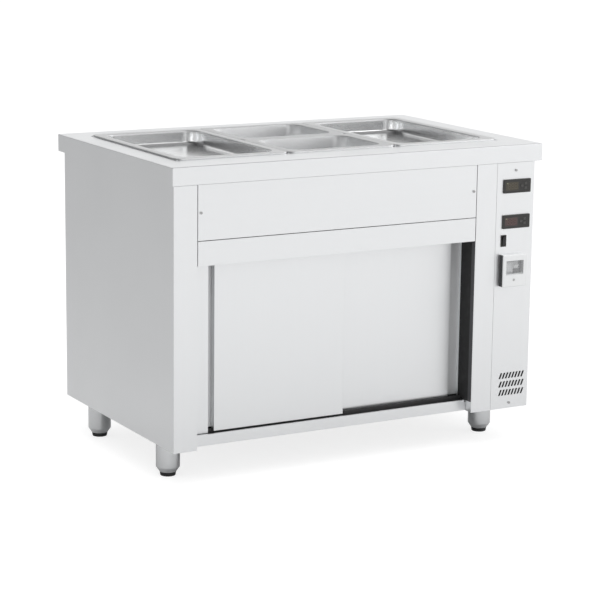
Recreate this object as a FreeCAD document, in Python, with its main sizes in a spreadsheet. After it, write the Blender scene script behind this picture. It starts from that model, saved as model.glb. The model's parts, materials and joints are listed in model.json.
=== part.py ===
"""Bain-marie: a water well with gastronorm pans over a heated cupboard with sliding doors.

Millimetres, +Z up. The origin is on the floor under the middle of the whole object,
-Y is the side with the doors and +X is the side with the control column.
"""
import FreeCAD, Part
import math
import os
import re
import Sketcher

V = FreeCAD.Vector

# Driving dimensions, by piece
SIZES = {
    # Worktop and whole object
    "top_width": 1120,
    "top_depth": 720,
    "total_height": 835,
    "fascia_height": 47,
    "lip_width": 42,
    "top_sheet": 1.5,
    "top_bend": 2,
    # Cabinet shell
    "cab_left_inset": 4,
    "cab_right_inset": 23.5,
    "cab_front_inset": 1.5,
    "cab_back_inset": 35,
    "cabinet_lift": 101,
    "floor_rise": 23,
    "shell_sheet": 1.5,
    "overrun": 5,
    # Posts, service panel and rails
    "post_width": 66,
    "right_post_width": 64,
    "post_return": 81.5,
    "seal_thickness": 3,
    "seal_depth": 66.5,
    "jamb_width": 54,
    "panel_gap": 1.8,
    "fascia_joint": 0.6,
    "panel_fold": 12,
    "landing_width": 18,
    "apron_height": 142,
    "header_height": 63.5,
    "rail_height": 29.5,
    "rail_setback": 33,
    "rail_fold": 6,
    # Pans
    "pans_left_inset": 65,
    "pans_right_inset": 76,
    "pans_front_inset": 109,
    "pans_back_inset": 81,
    "pan_gap": 2,
    "rim_width": 22,
    "rim_height": 6.5,
    "rim_corner": 16,
    "pan_sheet": 1,
    "pan_corner": 38,
    "pan_bend": 11,
    "pan_taper": 2.5,
    "shallow_depth": 40,
    "deep_depth": 100,
    # Recess, ledge and water well
    "recess_gap": 3,
    "recess_depth": 2,
    "recess_corner": 3,
    "ledge_width": 14,
    "step_width": 4,
    "well_depth": 160,
    "well_corner": 25,
    "well_bend": 12,
    "well_sheet": 1.5,
    # Divider bars
    "bar_width": 32,
    "bar_height": 14,
    "bar_sheet": 1.5,
    "bar_clearance": 0.3,
    "notch_reach": 5,
    # Heating element of the well
    "element_radius": 4.25,
    "element_lift": 26,
    "element_end_gap": 109,
    "element_side_gap": 85,
    "element_bend": 55,
    "through_gap": 0.5,
    "element_plate": 4,
    "element_plate_height": 34,
    "element_plate_margin": 22,
    "terminal_radius": 2.5,
    "terminal_length": 12,
    # Drain, valve and lever
    "drain_inset": 62,
    "drain_back_inset": 46,
    "drain_flange_radius": 28,
    "drain_flange": 2,
    "drain_radius": 11,
    "drain_wall": 1.5,
    "valve_drop": 3,
    "valve_radius": 17,
    "valve_height": 40,
    "spigot_radius": 13,
    "spigot_bore": 10.5,
    "spigot_length": 15,
    "spigot_seat": 3,
    "ball_radius": 13,
    "ball_gap": 0.4,
    "stem_radius": 4,
    "stem_gap": 0.06,
    "stem_boss_radius": 8,
    "stem_boss_reach": 4,
    "stem_reach": 8,
    "lever_width": 12,
    "lever_thickness": 3,
    "lever_length": 56,
    # Cupboard
    "cupboard_inset": 40,
    "partition_inset": 34,
    "chamber_back_inset": 46,
    "stile_left": 77,
    "stile_right": 55,
    "rebate_width": 50,
    "rebate_gap": 1.5,
    "shelf_lift": 245,
    "shelf_edge": 20,
    "shelf_gap": 1,
    "shelf_rail_width": 18,
    # Doors, their track and their guide
    "door_thickness": 16,
    "door_skin": 1.2,
    "door_setback": 45,
    "track_pitch": 18.5,
    "door_bottom_gap": 5,
    "door_cover": 12,
    "door_left_place": 71,
    "door_right_place": 35,
    "door_overlap": 40,
    "door_lap": 21,
    "door_bend": 1,
    "track_wall": 1.5,
    "track_clearance": 0.5,
    "track_top_gap": 2,
    "stop_length": 10,
    "fin_height": 11,
    "fin_width": 2,
    "fin_clearance": 0.8,
    "glide_gap": 0.3,
    # Control column
    "column_width": 121.9,
    "column_gap": 0.6,
    "column_screw_top": 69,
    "column_screw_low": 15,
    "strip_height": 24,
    "cutout_gap": 0.4,
    "controller_inset": 20.5,
    "controller_top": 93,
    "controller_pitch": 97.5,
    "controller_width": 88,
    "controller_height": 37.5,
    "controller_bezel": 4,
    "controller_round": 2,
    "controller_margin": 3.5,
    "controller_housing": 58,
    "key_width": 9,
    "key_height": 6.5,
    "key_proud": 0.8,
    "key_depth": 2.2,
    "key_travel": 0.7,
    "key_clearance": 0.3,
    "key_pitch": 12,
    "key_edge": 11,
    # Rocker switch
    "rocker_left": 17.5,
    "rocker_top": 245,
    "rocker_width": 17,
    "rocker_height": 32,
    "rocker_bezel": 2,
    "rocker_wall": 1.5,
    "rocker_housing": 22,
    "rocker_play": 0.6,
    "rocker_axis": 2.5,
    "rocker_tilt": 9,
    "rocker_rise": 3.4,
    "rocker_depth": 7,
    "rocker_dip_share": 0.35,
    "rocker_waist_share": 0.5,
    "rocker_pin": 1.5,
    "rocker_pin_gap": 0.06,
    # Vent slots
    "vent_left": 24.5,
    "vent_low": 37,
    "slot_width": 5.6,
    "slot_height": 16.5,
    "slot_lean": 6.6,
    "slot_pitch": 10.4,
    "slot_row_pitch": 24,
    # Surface box and its hinged window
    "box_left": 16.5,
    "box_top": 299,
    "box_width": 78,
    "box_height": 88,
    "box_depth": 18.5,
    "box_wall": 3,
    "box_round": 2,
    "box_screw_drop": 69,
    "box_screw_aside": 3.6,
    "box_boss_radius": 6,
    "window_left": 9.5,
    "window_top": 16,
    "window_width": 57,
    "window_height": 39,
    "window_thickness": 2,
    "window_play": 0.4,
    "window_rest": 3,
    "window_pin": 0.9,
    "window_pin_gap": 0.06,
    "window_pin_reach": 3,
    # Breaker behind the window
    "breaker_margin": 4,
    "breaker_face": 5,
    "breaker_shoulder": 3,
    "breaker_depth": 48,
    "toggle_place_share": 0.68,
    "toggle_radius": 4.5,
    "toggle_inset": 1,
    "toggle_gap": 0.35,
    "toggle_width": 14,
    "toggle_reach": 9.5,
    "toggle_arm": 3.4,
    "toggle_tilt": 38,
    # Screws
    "screw_head": 3.6,
    "screw_head_height": 2.2,
    "screw_recess": 1.1,
    "screw_slot": 1,
    "screw_shank": 1.9,
    "screw_gap": 0.15,
    "screw_past": 4,
    "screw_edge": 8.5,
    "screw_drop": 71,
    # Fan unit of the cupboard
    "fan_lift": 100,
    "fan_back": 300,
    "fan_radius": 60,
    "fan_width": 24,
    "fan_plate": 1.5,
    "fan_hub": 12,
    "fan_standoff": 12,
    "blade_length": 26,
    "blade_thickness": 1.5,
    "shaft_radius": 4,
    "shaft_gap": 0.06,
    "shaft_length": 34,
    "shaft_hole": 9,
    "motor_radius": 34,
    "motor_length": 52,
    "heater_radius": 72,
    "heater_tube": 4,
    "heater_standoff": 24,
    "heater_lead": 14,
    "heater_lead_radius": 3.2,
    "heater_collar_radius": 8,
    "heater_collar": 3,
    "cover_half": 84,
    "cover_depth": 50,
    "cover_sheet": 1.2,
    "cover_flange": 12,
    "cover_slot_length": 30,
    "cover_slot_width": 6,
    "cover_slot_start": 20,
    # Contactors and cable gland
    "din_width": 92,
    "din_height": 35,
    "din_depth": 7.5,
    "din_lift": 390,
    "module_width": 27,
    "module_height": 78,
    "module_depth": 56,
    "module_nose": 8,
    "gland_inset": 60,
    "gland_lift": 90,
    "gland_radius": 11,
    "gland_nut": 15,
    "gland_nut_thickness": 5,
    "gland_length": 16,
    "gland_bore": 5,
    # Legs
    "leg_side_inset": 56,
    "leg_front_inset": 150,
    "leg_back_inset": 97,
    "leg_radius": 31.5,
    "leg_wall": 2,
    "leg_cone_low": 11,
    "leg_cone_height": 13,
    "leg_nose": 22.5,
    "leg_plug": 30,
    "leg_plate": 40,
    "leg_plate_thickness": 3,
    "pad_low_radius": 20,
    "pad_high_radius": 21.8,
    "pad_gap": 0.3,
    "pad_stem": 8,
    "pad_stem_gap": 0.08,
    "pad_stem_length": 50,
}

# Places and sizes worked out from them
PLACES = {
    "left": "-top_width / 2",
    "right": "top_width / 2",
    "front_reach": "box_depth - cab_front_inset",
    "front": "-(top_depth - front_reach) / 2",
    "back": "front + top_depth",
    "fascia_low": "total_height - fascia_height",
    "cab_left": "left + cab_left_inset",
    "cab_right": "right - cab_right_inset",
    "cab_front": "front + cab_front_inset",
    "cab_back": "back - cab_back_inset",
    "shell_height": "fascia_low - cabinet_lift",
    "post_right_edge": "cab_left + post_width",
    "column_left": "cab_right - column_width",
    "right_post_right": "column_left - column_gap",
    "right_post_left": "right_post_right - right_post_width",
    "opening_width": "right_post_left - post_right_edge",
    "column_middle": "column_left + column_width / 2",
    "landing_front": "cab_front + panel_fold",
    "front_high": "fascia_low - fascia_joint",
    "front_height": "front_high - cabinet_lift",
    "apron_low": "front_high - apron_height",
    "header_high": "apron_low - panel_gap",
    "header_low": "header_high - header_height",
    "header_under": "header_high - shell_sheet",
    "span_left": "post_right_edge + panel_gap",
    "span_width": "opening_width - 2 * panel_gap",
    "rail_front": "cab_front + rail_setback",
    "rail_back": "rail_front + shell_sheet",
    "rail_high": "cabinet_lift + rail_height",
    "floor_high": "cabinet_lift + floor_rise",
    "guide_high": "rail_high - shell_sheet",
    "stile_front": "cab_front + post_return",
    "door_width": "(opening_width - door_left_place - door_right_place + door_overlap) / 2",
    "door_low": "guide_high + door_bottom_gap",
    "door_height": "header_low + door_cover - door_low",
    "front_door_face": "cab_front + door_setback",
    "rear_door_face": "front_door_face + track_pitch",
    "closed_left": "post_right_edge + stile_left - door_lap",
    "closed_right": "right_post_left - stile_right + door_lap",
    "groove_width": "door_thickness + 2 * track_clearance",
    "track_front": "front_door_face - track_clearance - track_wall",
    "track_back": "rear_door_face + door_thickness + track_clearance + track_wall",
    "track_low": "header_low + door_cover + track_top_gap",
    "track_high": "track_low + track_wall",
    "chamber_left": "cab_left + cupboard_inset",
    "chamber_right": "right_post_right - partition_inset",
    "chamber_back": "cab_back - chamber_back_inset",
    "chamber_depth": "chamber_back - stile_front",
    "liner_width": "chamber_right + shell_sheet - chamber_left",
    "liner_height": "track_high - floor_high",
    "rims_left": "left + pans_left_inset",
    "rims_front": "front + pans_front_inset",
    "rims_width": "top_width - pans_left_inset - pans_right_inset",
    "pan_width": "(rims_width - 2 * pan_gap) / 3",
    "pan_length": "top_depth - pans_front_inset - pans_back_inset",
    "half_length": "(pan_length - pan_gap) / 2",
    "pan_pitch": "pan_width + pan_gap",
    "recess_left": "rims_left - recess_gap",
    "recess_front": "rims_front - recess_gap",
    "recess_width": "rims_width + 2 * recess_gap",
    "recess_length": "pan_length + 2 * recess_gap",
    "hole_front": "recess_front + ledge_width",
    "hole_width": "recess_width - 2 * ledge_width",
    "hole_length": "recess_length - 2 * ledge_width",
    "well_inset": "ledge_width + step_width",
    "well_left": "recess_left + well_inset",
    "well_front": "recess_front + well_inset",
    "well_width": "recess_width - 2 * well_inset",
    "well_length": "recess_length - 2 * well_inset",
    "ledge_high": "total_height - recess_depth",
    "ledge_low": "ledge_high - top_sheet",
    "well_floor": "ledge_low - well_depth + well_sheet",
    "rim_high": "ledge_high + rim_height",
    "bar_left_middle": "rims_left + pan_width + pan_gap / 2",
    "bar_right_middle": "bar_left_middle + pan_pitch",
    "cross_front": "rims_front + pan_length / 2 - bar_width / 2",
    "element_wall": "well_left + well_width + well_sheet",
    "element_run": "well_width - element_end_gap",
    "element_pitch": "well_length - 2 * element_side_gap - 2 * element_bend",
    "element_middle": "well_front + well_length / 2",
    "element_z": "well_floor + element_lift",
    "drain_x": "well_left + well_width - drain_inset",
    "drain_y": "well_front + well_length - drain_back_inset",
    "drain_bore": "drain_radius - drain_wall",
    "valve_high": "cabinet_lift - valve_drop",
    "valve_low": "valve_high - valve_height",
    "valve_middle": "valve_high - valve_height / 2",
    "lever_front": "drain_y - valve_radius - stem_reach - lever_thickness",
    "shelf_high": "floor_high + shelf_lift",
    "shelf_left": "chamber_left + shell_sheet + shelf_gap",
    "shelf_width": "chamber_right - shelf_gap - shelf_left",
    "controller_left": "column_left + controller_inset",
    "well_controller_low": "total_height - controller_top - controller_height",
    "cupboard_controller_low": "well_controller_low - controller_pitch",
    "key_hole": "key_depth + key_travel + key_clearance",
    "rocker_x": "column_left + rocker_left",
    "rocker_low": "total_height - rocker_top - rocker_height",
    "rocker_middle": "rocker_low + rocker_height / 2",
    "rocker_half": "rocker_height / 2 - 2 * rocker_wall - rocker_play",
    "rocker_face": "rocker_rise + rocker_axis + rocker_bezel",
    "box_x": "column_left + box_left",
    "box_low": "total_height - box_top - box_height",
    "box_front": "cab_front - box_depth",
    "box_screw_x": "box_x + box_width / 2 - box_screw_aside",
    "box_screw_z": "box_low + box_height - box_screw_drop",
    "box_screw_seat": "box_front + screw_head_height + screw_gap",
    "window_x": "box_x + window_left",
    "window_low": "box_low + box_height - window_top - window_height",
    "window_axis_y": "box_front + box_wall / 2",
    "window_axis_z": "window_low + window_height - window_thickness / 2 - window_play",
    "breaker_front": "cab_front - breaker_face",
    "toggle_x": "window_x + window_width * toggle_place_share - toggle_width / 2",
    "toggle_y": "breaker_front + toggle_inset",
    "toggle_z": "window_low + window_height / 2",
    "panel_back": "cab_front + shell_sheet",
    "fan_x": "chamber_right - fan_standoff",
    "fan_y": "stile_front + fan_back",
    "fan_z": "floor_high + fan_lift",
    "back_inner": "cab_back - shell_sheet",
    "gland_x": "cab_right - gland_inset",
    "gland_z": "floor_high + gland_lift",
    "leg_left": "cab_left + leg_side_inset",
    "leg_right": "cab_right - leg_side_inset",
    "leg_front": "cab_front + leg_front_inset",
    "leg_rear": "cab_back - leg_back_inset",
    "leg_high": "floor_high - shell_sheet",
    "leg_cone_high": "leg_cone_low + leg_cone_height",
    "screw_left": "span_left + screw_edge",
    "screw_right": "span_left + span_width - screw_edge",
    "apron_screw_z": "front_high - screw_drop",
    "column_screw_high_z": "total_height - column_screw_top",
    "column_screw_low_z": "cabinet_lift + column_screw_low",
    "screw_length": "panel_fold + shell_sheet + screw_past",
}

# Counts, and how near two coordinates are to count as the same, as a share of a sheet's thickness
VENT_ROWS = 3
VENT_SLOTS = 8
BLADES = 10
COVER_SLOTS = 12
OUTLET_SLOTS = 6
MODULES = 3
SAME_SHARE = 0.01

WORD = re.compile(r"[a-z][a-z0-9_]*")
TURNS = {
    "Z": FreeCAD.Rotation(),
    "Y": FreeCAD.Rotation(V(1, 0, 0), -90),
    "X": FreeCAD.Rotation(V(0, 1, 0), 90),
}

doc = FreeCAD.newDocument("bain_marie")
sheet = doc.addObject("Spreadsheet::Sheet", "Dims")
nodes = []


def fill_sheet():
    for row, (name, size) in enumerate(SIZES.items(), start=1):
        sheet.set("A%d" % row, name)
        sheet.set("B%d" % row, str(size))
        sheet.setAlias("B%d" % row, name)
    doc.recompute()


def full(text):
    """An expression on the sheet: a driving name gets the sheet's name, a worked out one is written out."""
    def swap(match):
        word = match.group(0)
        if word in SIZES:
            return "Dims." + word
        return "(" + full(PLACES[word]) + ")"
    return WORD.sub(swap, text)


def number(text):
    """What an expression is worth now."""
    return float(sheet.evalExpression(full(text)))


def node(thing, label):
    """Name a finished piece and list it for export."""
    thing.Label = label
    nodes.append(thing)
    return thing


def put(thing, x, y, z):
    for axis, text in zip("xyz", (x, y, z)):
        if text != "0":
            thing.setExpression("Placement.Base." + axis, full(text))


# Part primitives and booleans

def box(x, y, z, dx, dy, dz):
    thing = doc.addObject("Part::Box", "box")
    put(thing, x, y, z)
    for side, text in zip(("Length", "Width", "Height"), (dx, dy, dz)):
        thing.setExpression(side, full(text))
    return thing


def cylinder(x, y, z, radius, length, axis="Z"):
    """A cylinder from a point along +X, +Y or +Z."""
    thing = doc.addObject("Part::Cylinder", "cylinder")
    thing.Placement.Rotation = TURNS[axis]
    put(thing, x, y, z)
    thing.setExpression("Radius", full(radius))
    thing.setExpression("Height", full(length))
    return thing


def cone(x, y, z, low, high, length):
    thing = doc.addObject("Part::Cone", "cone")
    put(thing, x, y, z)
    thing.setExpression("Radius1", full(low))
    thing.setExpression("Radius2", full(high))
    thing.setExpression("Height", full(length))
    return thing


def ball(x, y, z, radius):
    thing = doc.addObject("Part::Sphere", "ball")
    put(thing, x, y, z)
    thing.setExpression("Radius", full(radius))
    return thing


def ring(x, y, z, radius, tube, axis="Z"):
    thing = doc.addObject("Part::Torus", "ring")
    thing.Placement.Rotation = TURNS[axis]
    put(thing, x, y, z)
    thing.setExpression("Radius1", full(radius))
    thing.setExpression("Radius2", full(tube))
    return thing


def fuse(*things):
    if len(things) == 1:
        return things[0]
    result = doc.addObject("Part::MultiFuse", "fuse")
    result.Shapes = list(things)
    result.Refine = True
    return result


def cut(base, *tools):
    result = doc.addObject("Part::Cut", "cut")
    result.Base = base
    result.Tool = fuse(*tools)
    result.Refine = True
    return result


def tray(x, y, z, dx, dy, dz):
    """A folded sheet: flat on top, with four edges turned down."""
    outer = box(x, y, z, dx, dy, dz)
    inner = box(f"{x} + shell_sheet", f"{y} + shell_sheet", f"{z} - overrun",
                f"{dx} - 2 * shell_sheet", f"{dy} - 2 * shell_sheet", f"{dz} + overrun - shell_sheet")
    return cut(outer, inner)


# PartDesign bodies

def new_body(label, x="0", y="0", z="0"):
    body = doc.addObject("PartDesign::Body", label)
    put(body, x, y, z)
    return node(body, label)


def tilt(body, angle):
    """Turn a body about its own X axis by an angle from the sheet."""
    body.Placement.Rotation = FreeCAD.Rotation(V(1, 0, 0), number(angle))
    body.setExpression("Placement.Rotation.Angle", full(angle))


def new_sketch(body, plane="XY_Plane", lift=None):
    sketch = body.newObject("Sketcher::SketchObject", "sketch")
    base = [item for item in body.Origin.OriginFeatures if item.Role == plane][0]
    sketch.AttachmentSupport = [(base, "")]
    sketch.MapMode = "FlatFace"
    if lift is not None:
        sketch.setExpression("AttachmentOffset.Base.z", full(lift))
    return sketch


def bind(sketch, kind, ends, text):
    """A dimension of the sketch bound to an expression."""
    index = sketch.addConstraint(Sketcher.Constraint(kind, *ends, number(text)))
    name = "size_%d" % index
    sketch.renameConstraint(index, name)
    sketch.setExpression("Constraints." + name, full(text))


def draw_loop(sketch, corners):
    """A closed loop of straight lines, each corner placed from the sketch's origin."""
    points = [V(number(u), number(v), 0) for u, v in corners]
    ends = points[1:] + points[:1]
    lines = [sketch.addGeometry(Part.LineSegment(a, b)) for a, b in zip(points, ends)]
    for line, following in zip(lines, lines[1:] + lines[:1]):
        sketch.addConstraint(Sketcher.Constraint("Coincident", line, 2, following, 1))
    for line, (u, v) in zip(lines, corners):
        bind(sketch, "DistanceX", (-1, 1, line, 1), u)
        bind(sketch, "DistanceY", (-1, 1, line, 1), v)
    return sketch


def rectangle(sketch, u, v, du, dv):
    return draw_loop(sketch, [(u, v), (f"{u} + {du}", v), (f"{u} + {du}", f"{v} + {dv}"), (u, f"{v} + {dv}")])


def circle(sketch, u, v, radius):
    item = sketch.addGeometry(Part.Circle(V(number(u), number(v), 0), V(0, 0, 1), number(radius)))
    bind(sketch, "DistanceX", (-1, 1, item, 3), u)
    bind(sketch, "DistanceY", (-1, 1, item, 3), v)
    bind(sketch, "Radius", (item,), radius)
    return sketch


def pad(body, sketch, length, back=False, taper=None):
    """Grow along the sketch's normal, or against it with back."""
    feature = body.newObject("PartDesign::Pad", "pad")
    feature.Profile = sketch
    feature.setExpression("Length", full(length))
    feature.Reversed = back
    if taper is not None:
        feature.setExpression("TaperAngle", full(taper))
    doc.recompute()
    return feature


def pocket(body, sketch, length, back=False, taper=None, both=False):
    """Cut against the sketch's normal, along it with back, or half to each side with both."""
    before = body.Shape.Volume
    feature = body.newObject("PartDesign::Pocket", "pocket")
    feature.Profile = sketch
    feature.setExpression("Length", full(length))
    feature.Reversed = back
    feature.Midplane = both
    if taper is not None:
        feature.setExpression("TaperAngle", full(taper))
    doc.recompute()
    if not body.Shape.Volume < before:
        raise RuntimeError(body.Label + ": a pocket cut nothing")
    return feature


def axis_of(body, role):
    return [item for item in body.Origin.OriginFeatures if item.Role == role][0], [""]


def repeat_along(body, feature, role, length, count):
    """Copies of a feature spread evenly over a length along one of the body's axes."""
    pattern = body.newObject("PartDesign::LinearPattern", "pattern")
    pattern.Originals = [feature]
    pattern.Direction = axis_of(body, role)
    pattern.setExpression("Length", full(length))
    pattern.Occurrences = count
    body.Tip = pattern
    doc.recompute()


def repeat_round(body, feature, role, count):
    """Copies of a feature round one of the body's axes."""
    pattern = body.newObject("PartDesign::PolarPattern", "pattern")
    pattern.Originals = [feature]
    pattern.Axis = axis_of(body, role)
    pattern.Angle = 360
    pattern.Occurrences = count
    body.Tip = pattern
    doc.recompute()


def same(a, b):
    return abs(a - b) < number("shell_sheet") * SAME_SHARE


def upright(a, b):
    return abs(a.z - b.z) > abs(a.x - b.x) + abs(a.y - b.y)


def fore_and_aft(a, b):
    return abs(a.y - b.y) > abs(a.x - b.x) + abs(a.z - b.z)


def level(height):
    """Edges whose ends both lie at a height in the body."""
    z = number(height)
    return lambda a, b: same(a.z, z) and same(b.z, z)


def between(low, high):
    """Upright edges that run from one height in the body to another."""
    bottom, top = number(low), number(high)
    return lambda a, b: upright(a, b) and same(min(a.z, b.z), bottom) and same(max(a.z, b.z), top)


def round_edges(body, radius, test):
    """Fillet the edges whose two ends pass the test."""
    tip = body.Tip
    names = []
    for index, edge in enumerate(tip.Shape.Edges, start=1):
        ends = [vertex.Point for vertex in edge.Vertexes]
        if len(ends) == 2 and test(*ends):
            names.append("Edge%d" % index)
    if not names:
        raise RuntimeError(body.Label + ": no edge to round")
    feature = body.newObject("PartDesign::Fillet", "fillet")
    feature.Base = (tip, names)
    feature.setExpression("Radius", full(radius))
    doc.recompute()


# Worktop and water well

def make_worktop():
    body = new_body("worktop", "left", "front", "fascia_low")
    pad(body, rectangle(new_sketch(body), "0", "0", "top_width", "top_depth"), "fascia_height")
    on_top = level("fascia_height")
    round_edges(body, "top_bend", lambda a, b: upright(a, b) or on_top(a, b))
    inner = rectangle(new_sketch(body), "top_sheet", "top_sheet", "top_width - 2 * top_sheet",
                      "top_depth - 2 * top_sheet")
    pocket(body, inner, "fascia_height - top_sheet", back=True)
    lip = new_sketch(body)
    rectangle(lip, "top_sheet / 2", "top_sheet / 2", "top_width - top_sheet", "top_depth - top_sheet")
    rectangle(lip, "lip_width", "lip_width", "top_width - 2 * lip_width", "top_depth - 2 * lip_width")
    pad(body, lip, "top_sheet")

    x, y = "recess_left - left", "recess_front - front"
    under = rectangle(new_sketch(body, lift="fascia_height - top_sheet / 2"), f"{x} - top_sheet",
                      f"{y} - top_sheet", "recess_width + 2 * top_sheet", "recess_length + 2 * top_sheet")
    pad(body, under, "recess_depth + top_sheet / 2", back=True)
    recess = rectangle(new_sketch(body, lift="fascia_height"), x, y, "recess_width", "recess_length")
    pocket(body, recess, "recess_depth")
    round_edges(body, "recess_corner", between("ledge_high - fascia_low", "fascia_height"))
    hole = rectangle(new_sketch(body, lift="fascia_height"), f"{x} + ledge_width", f"{y} + ledge_width",
                     "hole_width", "hole_length")
    pocket(body, hole, "recess_depth + 2 * top_sheet")
    round_edges(body, "well_corner", between("ledge_low - fascia_low", "ledge_high - fascia_low"))


def element_rows():
    """Where the element's four straight runs lie, from the middle of the well."""
    return [f"{side} * element_pitch / 2 + {way} * element_bend" for side in (-1, 1) for way in (-1, 1)]


def make_well():
    body = new_body("well_tank", "recess_left", "recess_front", "ledge_low")
    flange = rectangle(new_sketch(body), "0", "0", "recess_width", "recess_length")
    pad(body, flange, "well_sheet", back=True)
    tub = rectangle(new_sketch(body), "well_inset - well_sheet", "well_inset - well_sheet",
                    "well_width + 2 * well_sheet", "well_length + 2 * well_sheet")
    pad(body, tub, "well_depth", back=True)
    inner = rectangle(new_sketch(body), "well_inset", "well_inset", "well_width", "well_length")
    pocket(body, inner, "well_depth - well_sheet")
    round_edges(body, "well_corner", between("well_sheet - well_depth", "0"))
    round_edges(body, "well_bend", level("well_sheet - well_depth"))
    round_edges(body, "well_corner + well_sheet", between("-well_depth", "-well_sheet"))
    round_edges(body, "well_bend + well_sheet", level("-well_depth"))
    drain = circle(new_sketch(body), "drain_x - recess_left", "drain_y - recess_front",
                   "drain_radius + through_gap")
    pocket(body, drain, "well_depth + overrun")
    side = new_sketch(body, "YZ_Plane", "recess_width - well_inset - well_bend")
    for row in element_rows():
        circle(side, f"recess_length / 2 + {row}", "element_z - ledge_low", "element_radius + through_gap")
    pocket(body, side, "well_bend + well_sheet + overrun", back=True)


def draw_hairpin(sketch, middle):
    """Two straight runs joined by a half circle, from inside the plate into the well."""
    bend, run, start = number("element_bend"), number("element_run"), number("element_plate / 2")
    centre = number(middle)
    turn = Part.Circle(V(-run, centre, 0), V(0, 0, 1), bend)
    out = sketch.addGeometry(Part.LineSegment(V(start, centre - bend, 0), V(-run, centre - bend, 0)))
    half = sketch.addGeometry(Part.ArcOfCircle(turn, math.pi / 2, 3 * math.pi / 2))
    home = sketch.addGeometry(Part.LineSegment(V(-run, centre + bend, 0), V(start, centre + bend, 0)))
    sketch.addConstraint(Sketcher.Constraint("Horizontal", home))
    sketch.addConstraint(Sketcher.Constraint("Tangent", out, 2, half, 2))
    sketch.addConstraint(Sketcher.Constraint("Tangent", half, 1, home, 1))
    bind(sketch, "DistanceX", (-1, 1, out, 1), "element_plate / 2")
    bind(sketch, "DistanceX", (-1, 1, home, 2), "element_plate / 2")
    bind(sketch, "DistanceX", (-1, 1, half, 3), "-element_run")
    bind(sketch, "DistanceY", (-1, 1, half, 3), middle)
    bind(sketch, "DistanceY", (-1, 1, out, 1), f"{middle} - element_bend")
    return sketch


def make_heating_element():
    body = new_body("heating_element", "element_wall", "element_middle", "element_z")
    half = "(element_pitch / 2 + element_bend + element_plate_margin)"
    plate = rectangle(new_sketch(body, "YZ_Plane"), f"-{half}", "-element_plate_height / 2", f"2 * {half}",
                      "element_plate_height")
    pad(body, plate, "element_plate")
    for middle in ("-element_pitch / 2", "element_pitch / 2"):
        path = draw_hairpin(new_sketch(body), middle)
        profile = circle(new_sketch(body, "YZ_Plane", "element_plate / 2"), f"{middle} - element_bend", "0",
                         "element_radius")
        pipe = body.newObject("PartDesign::AdditivePipe", "pipe")
        pipe.Profile = profile
        pipe.Spine = path
        doc.recompute()
    pins = new_sketch(body, "YZ_Plane", "element_plate")
    for row in element_rows():
        circle(pins, row, "0", "terminal_radius")
    pad(body, pins, "terminal_length")


def make_drain():
    pipe = fuse(cylinder("drain_x", "drain_y", "well_floor", "drain_flange_radius", "drain_flange"),
                cylinder("drain_x", "drain_y", "valve_high", "drain_radius",
                         "well_floor + drain_flange - valve_high"))
    bore = cylinder("drain_x", "drain_y", "valve_high - overrun", "drain_bore",
                    "well_floor + drain_flange - valve_high + 2 * overrun")
    node(cut(pipe, bore), "drain_pipe")

    shell = fuse(cylinder("drain_x", "drain_y", "valve_low", "valve_radius", "valve_height"),
                 cylinder("drain_x", "drain_y", "valve_low - spigot_length", "spigot_radius",
                          "spigot_length"),
                 cylinder("drain_x", "drain_y - valve_radius - stem_boss_reach", "valve_middle",
                          "stem_boss_radius", "valve_radius", "Y"))
    way = cylinder("drain_x", "drain_y", "valve_low - overrun", "drain_bore", "valve_height + 2 * overrun")
    outlet = cylinder("drain_x", "drain_y", "valve_low - spigot_length - overrun", "spigot_bore",
                      "spigot_length + spigot_seat + overrun")
    seat = ball("drain_x", "drain_y", "valve_middle", "ball_radius + ball_gap")
    stem_hole = cylinder("drain_x", "drain_y - valve_radius - stem_reach", "valve_middle",
                         "stem_radius + stem_gap", "valve_radius + stem_reach", "Y")
    node(cut(shell, way, outlet, seat, stem_hole), "drain_valve")

    lever = fuse(ball("drain_x", "drain_y", "valve_middle", "ball_radius"),
                 cylinder("drain_x", "lever_front", "valve_middle", "stem_radius",
                          "drain_y - lever_front", "Y"),
                 box("drain_x - lever_length", "lever_front", "valve_middle - lever_width / 2",
                     "lever_length + lever_width / 2", "lever_thickness", "lever_width"))
    bore = cylinder("drain_x - ball_radius - overrun", "drain_y", "valve_middle", "drain_bore",
                    "2 * ball_radius + 2 * overrun", "X")
    node(cut(lever, bore), "drain_lever")


# Pans and their divider bars

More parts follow.
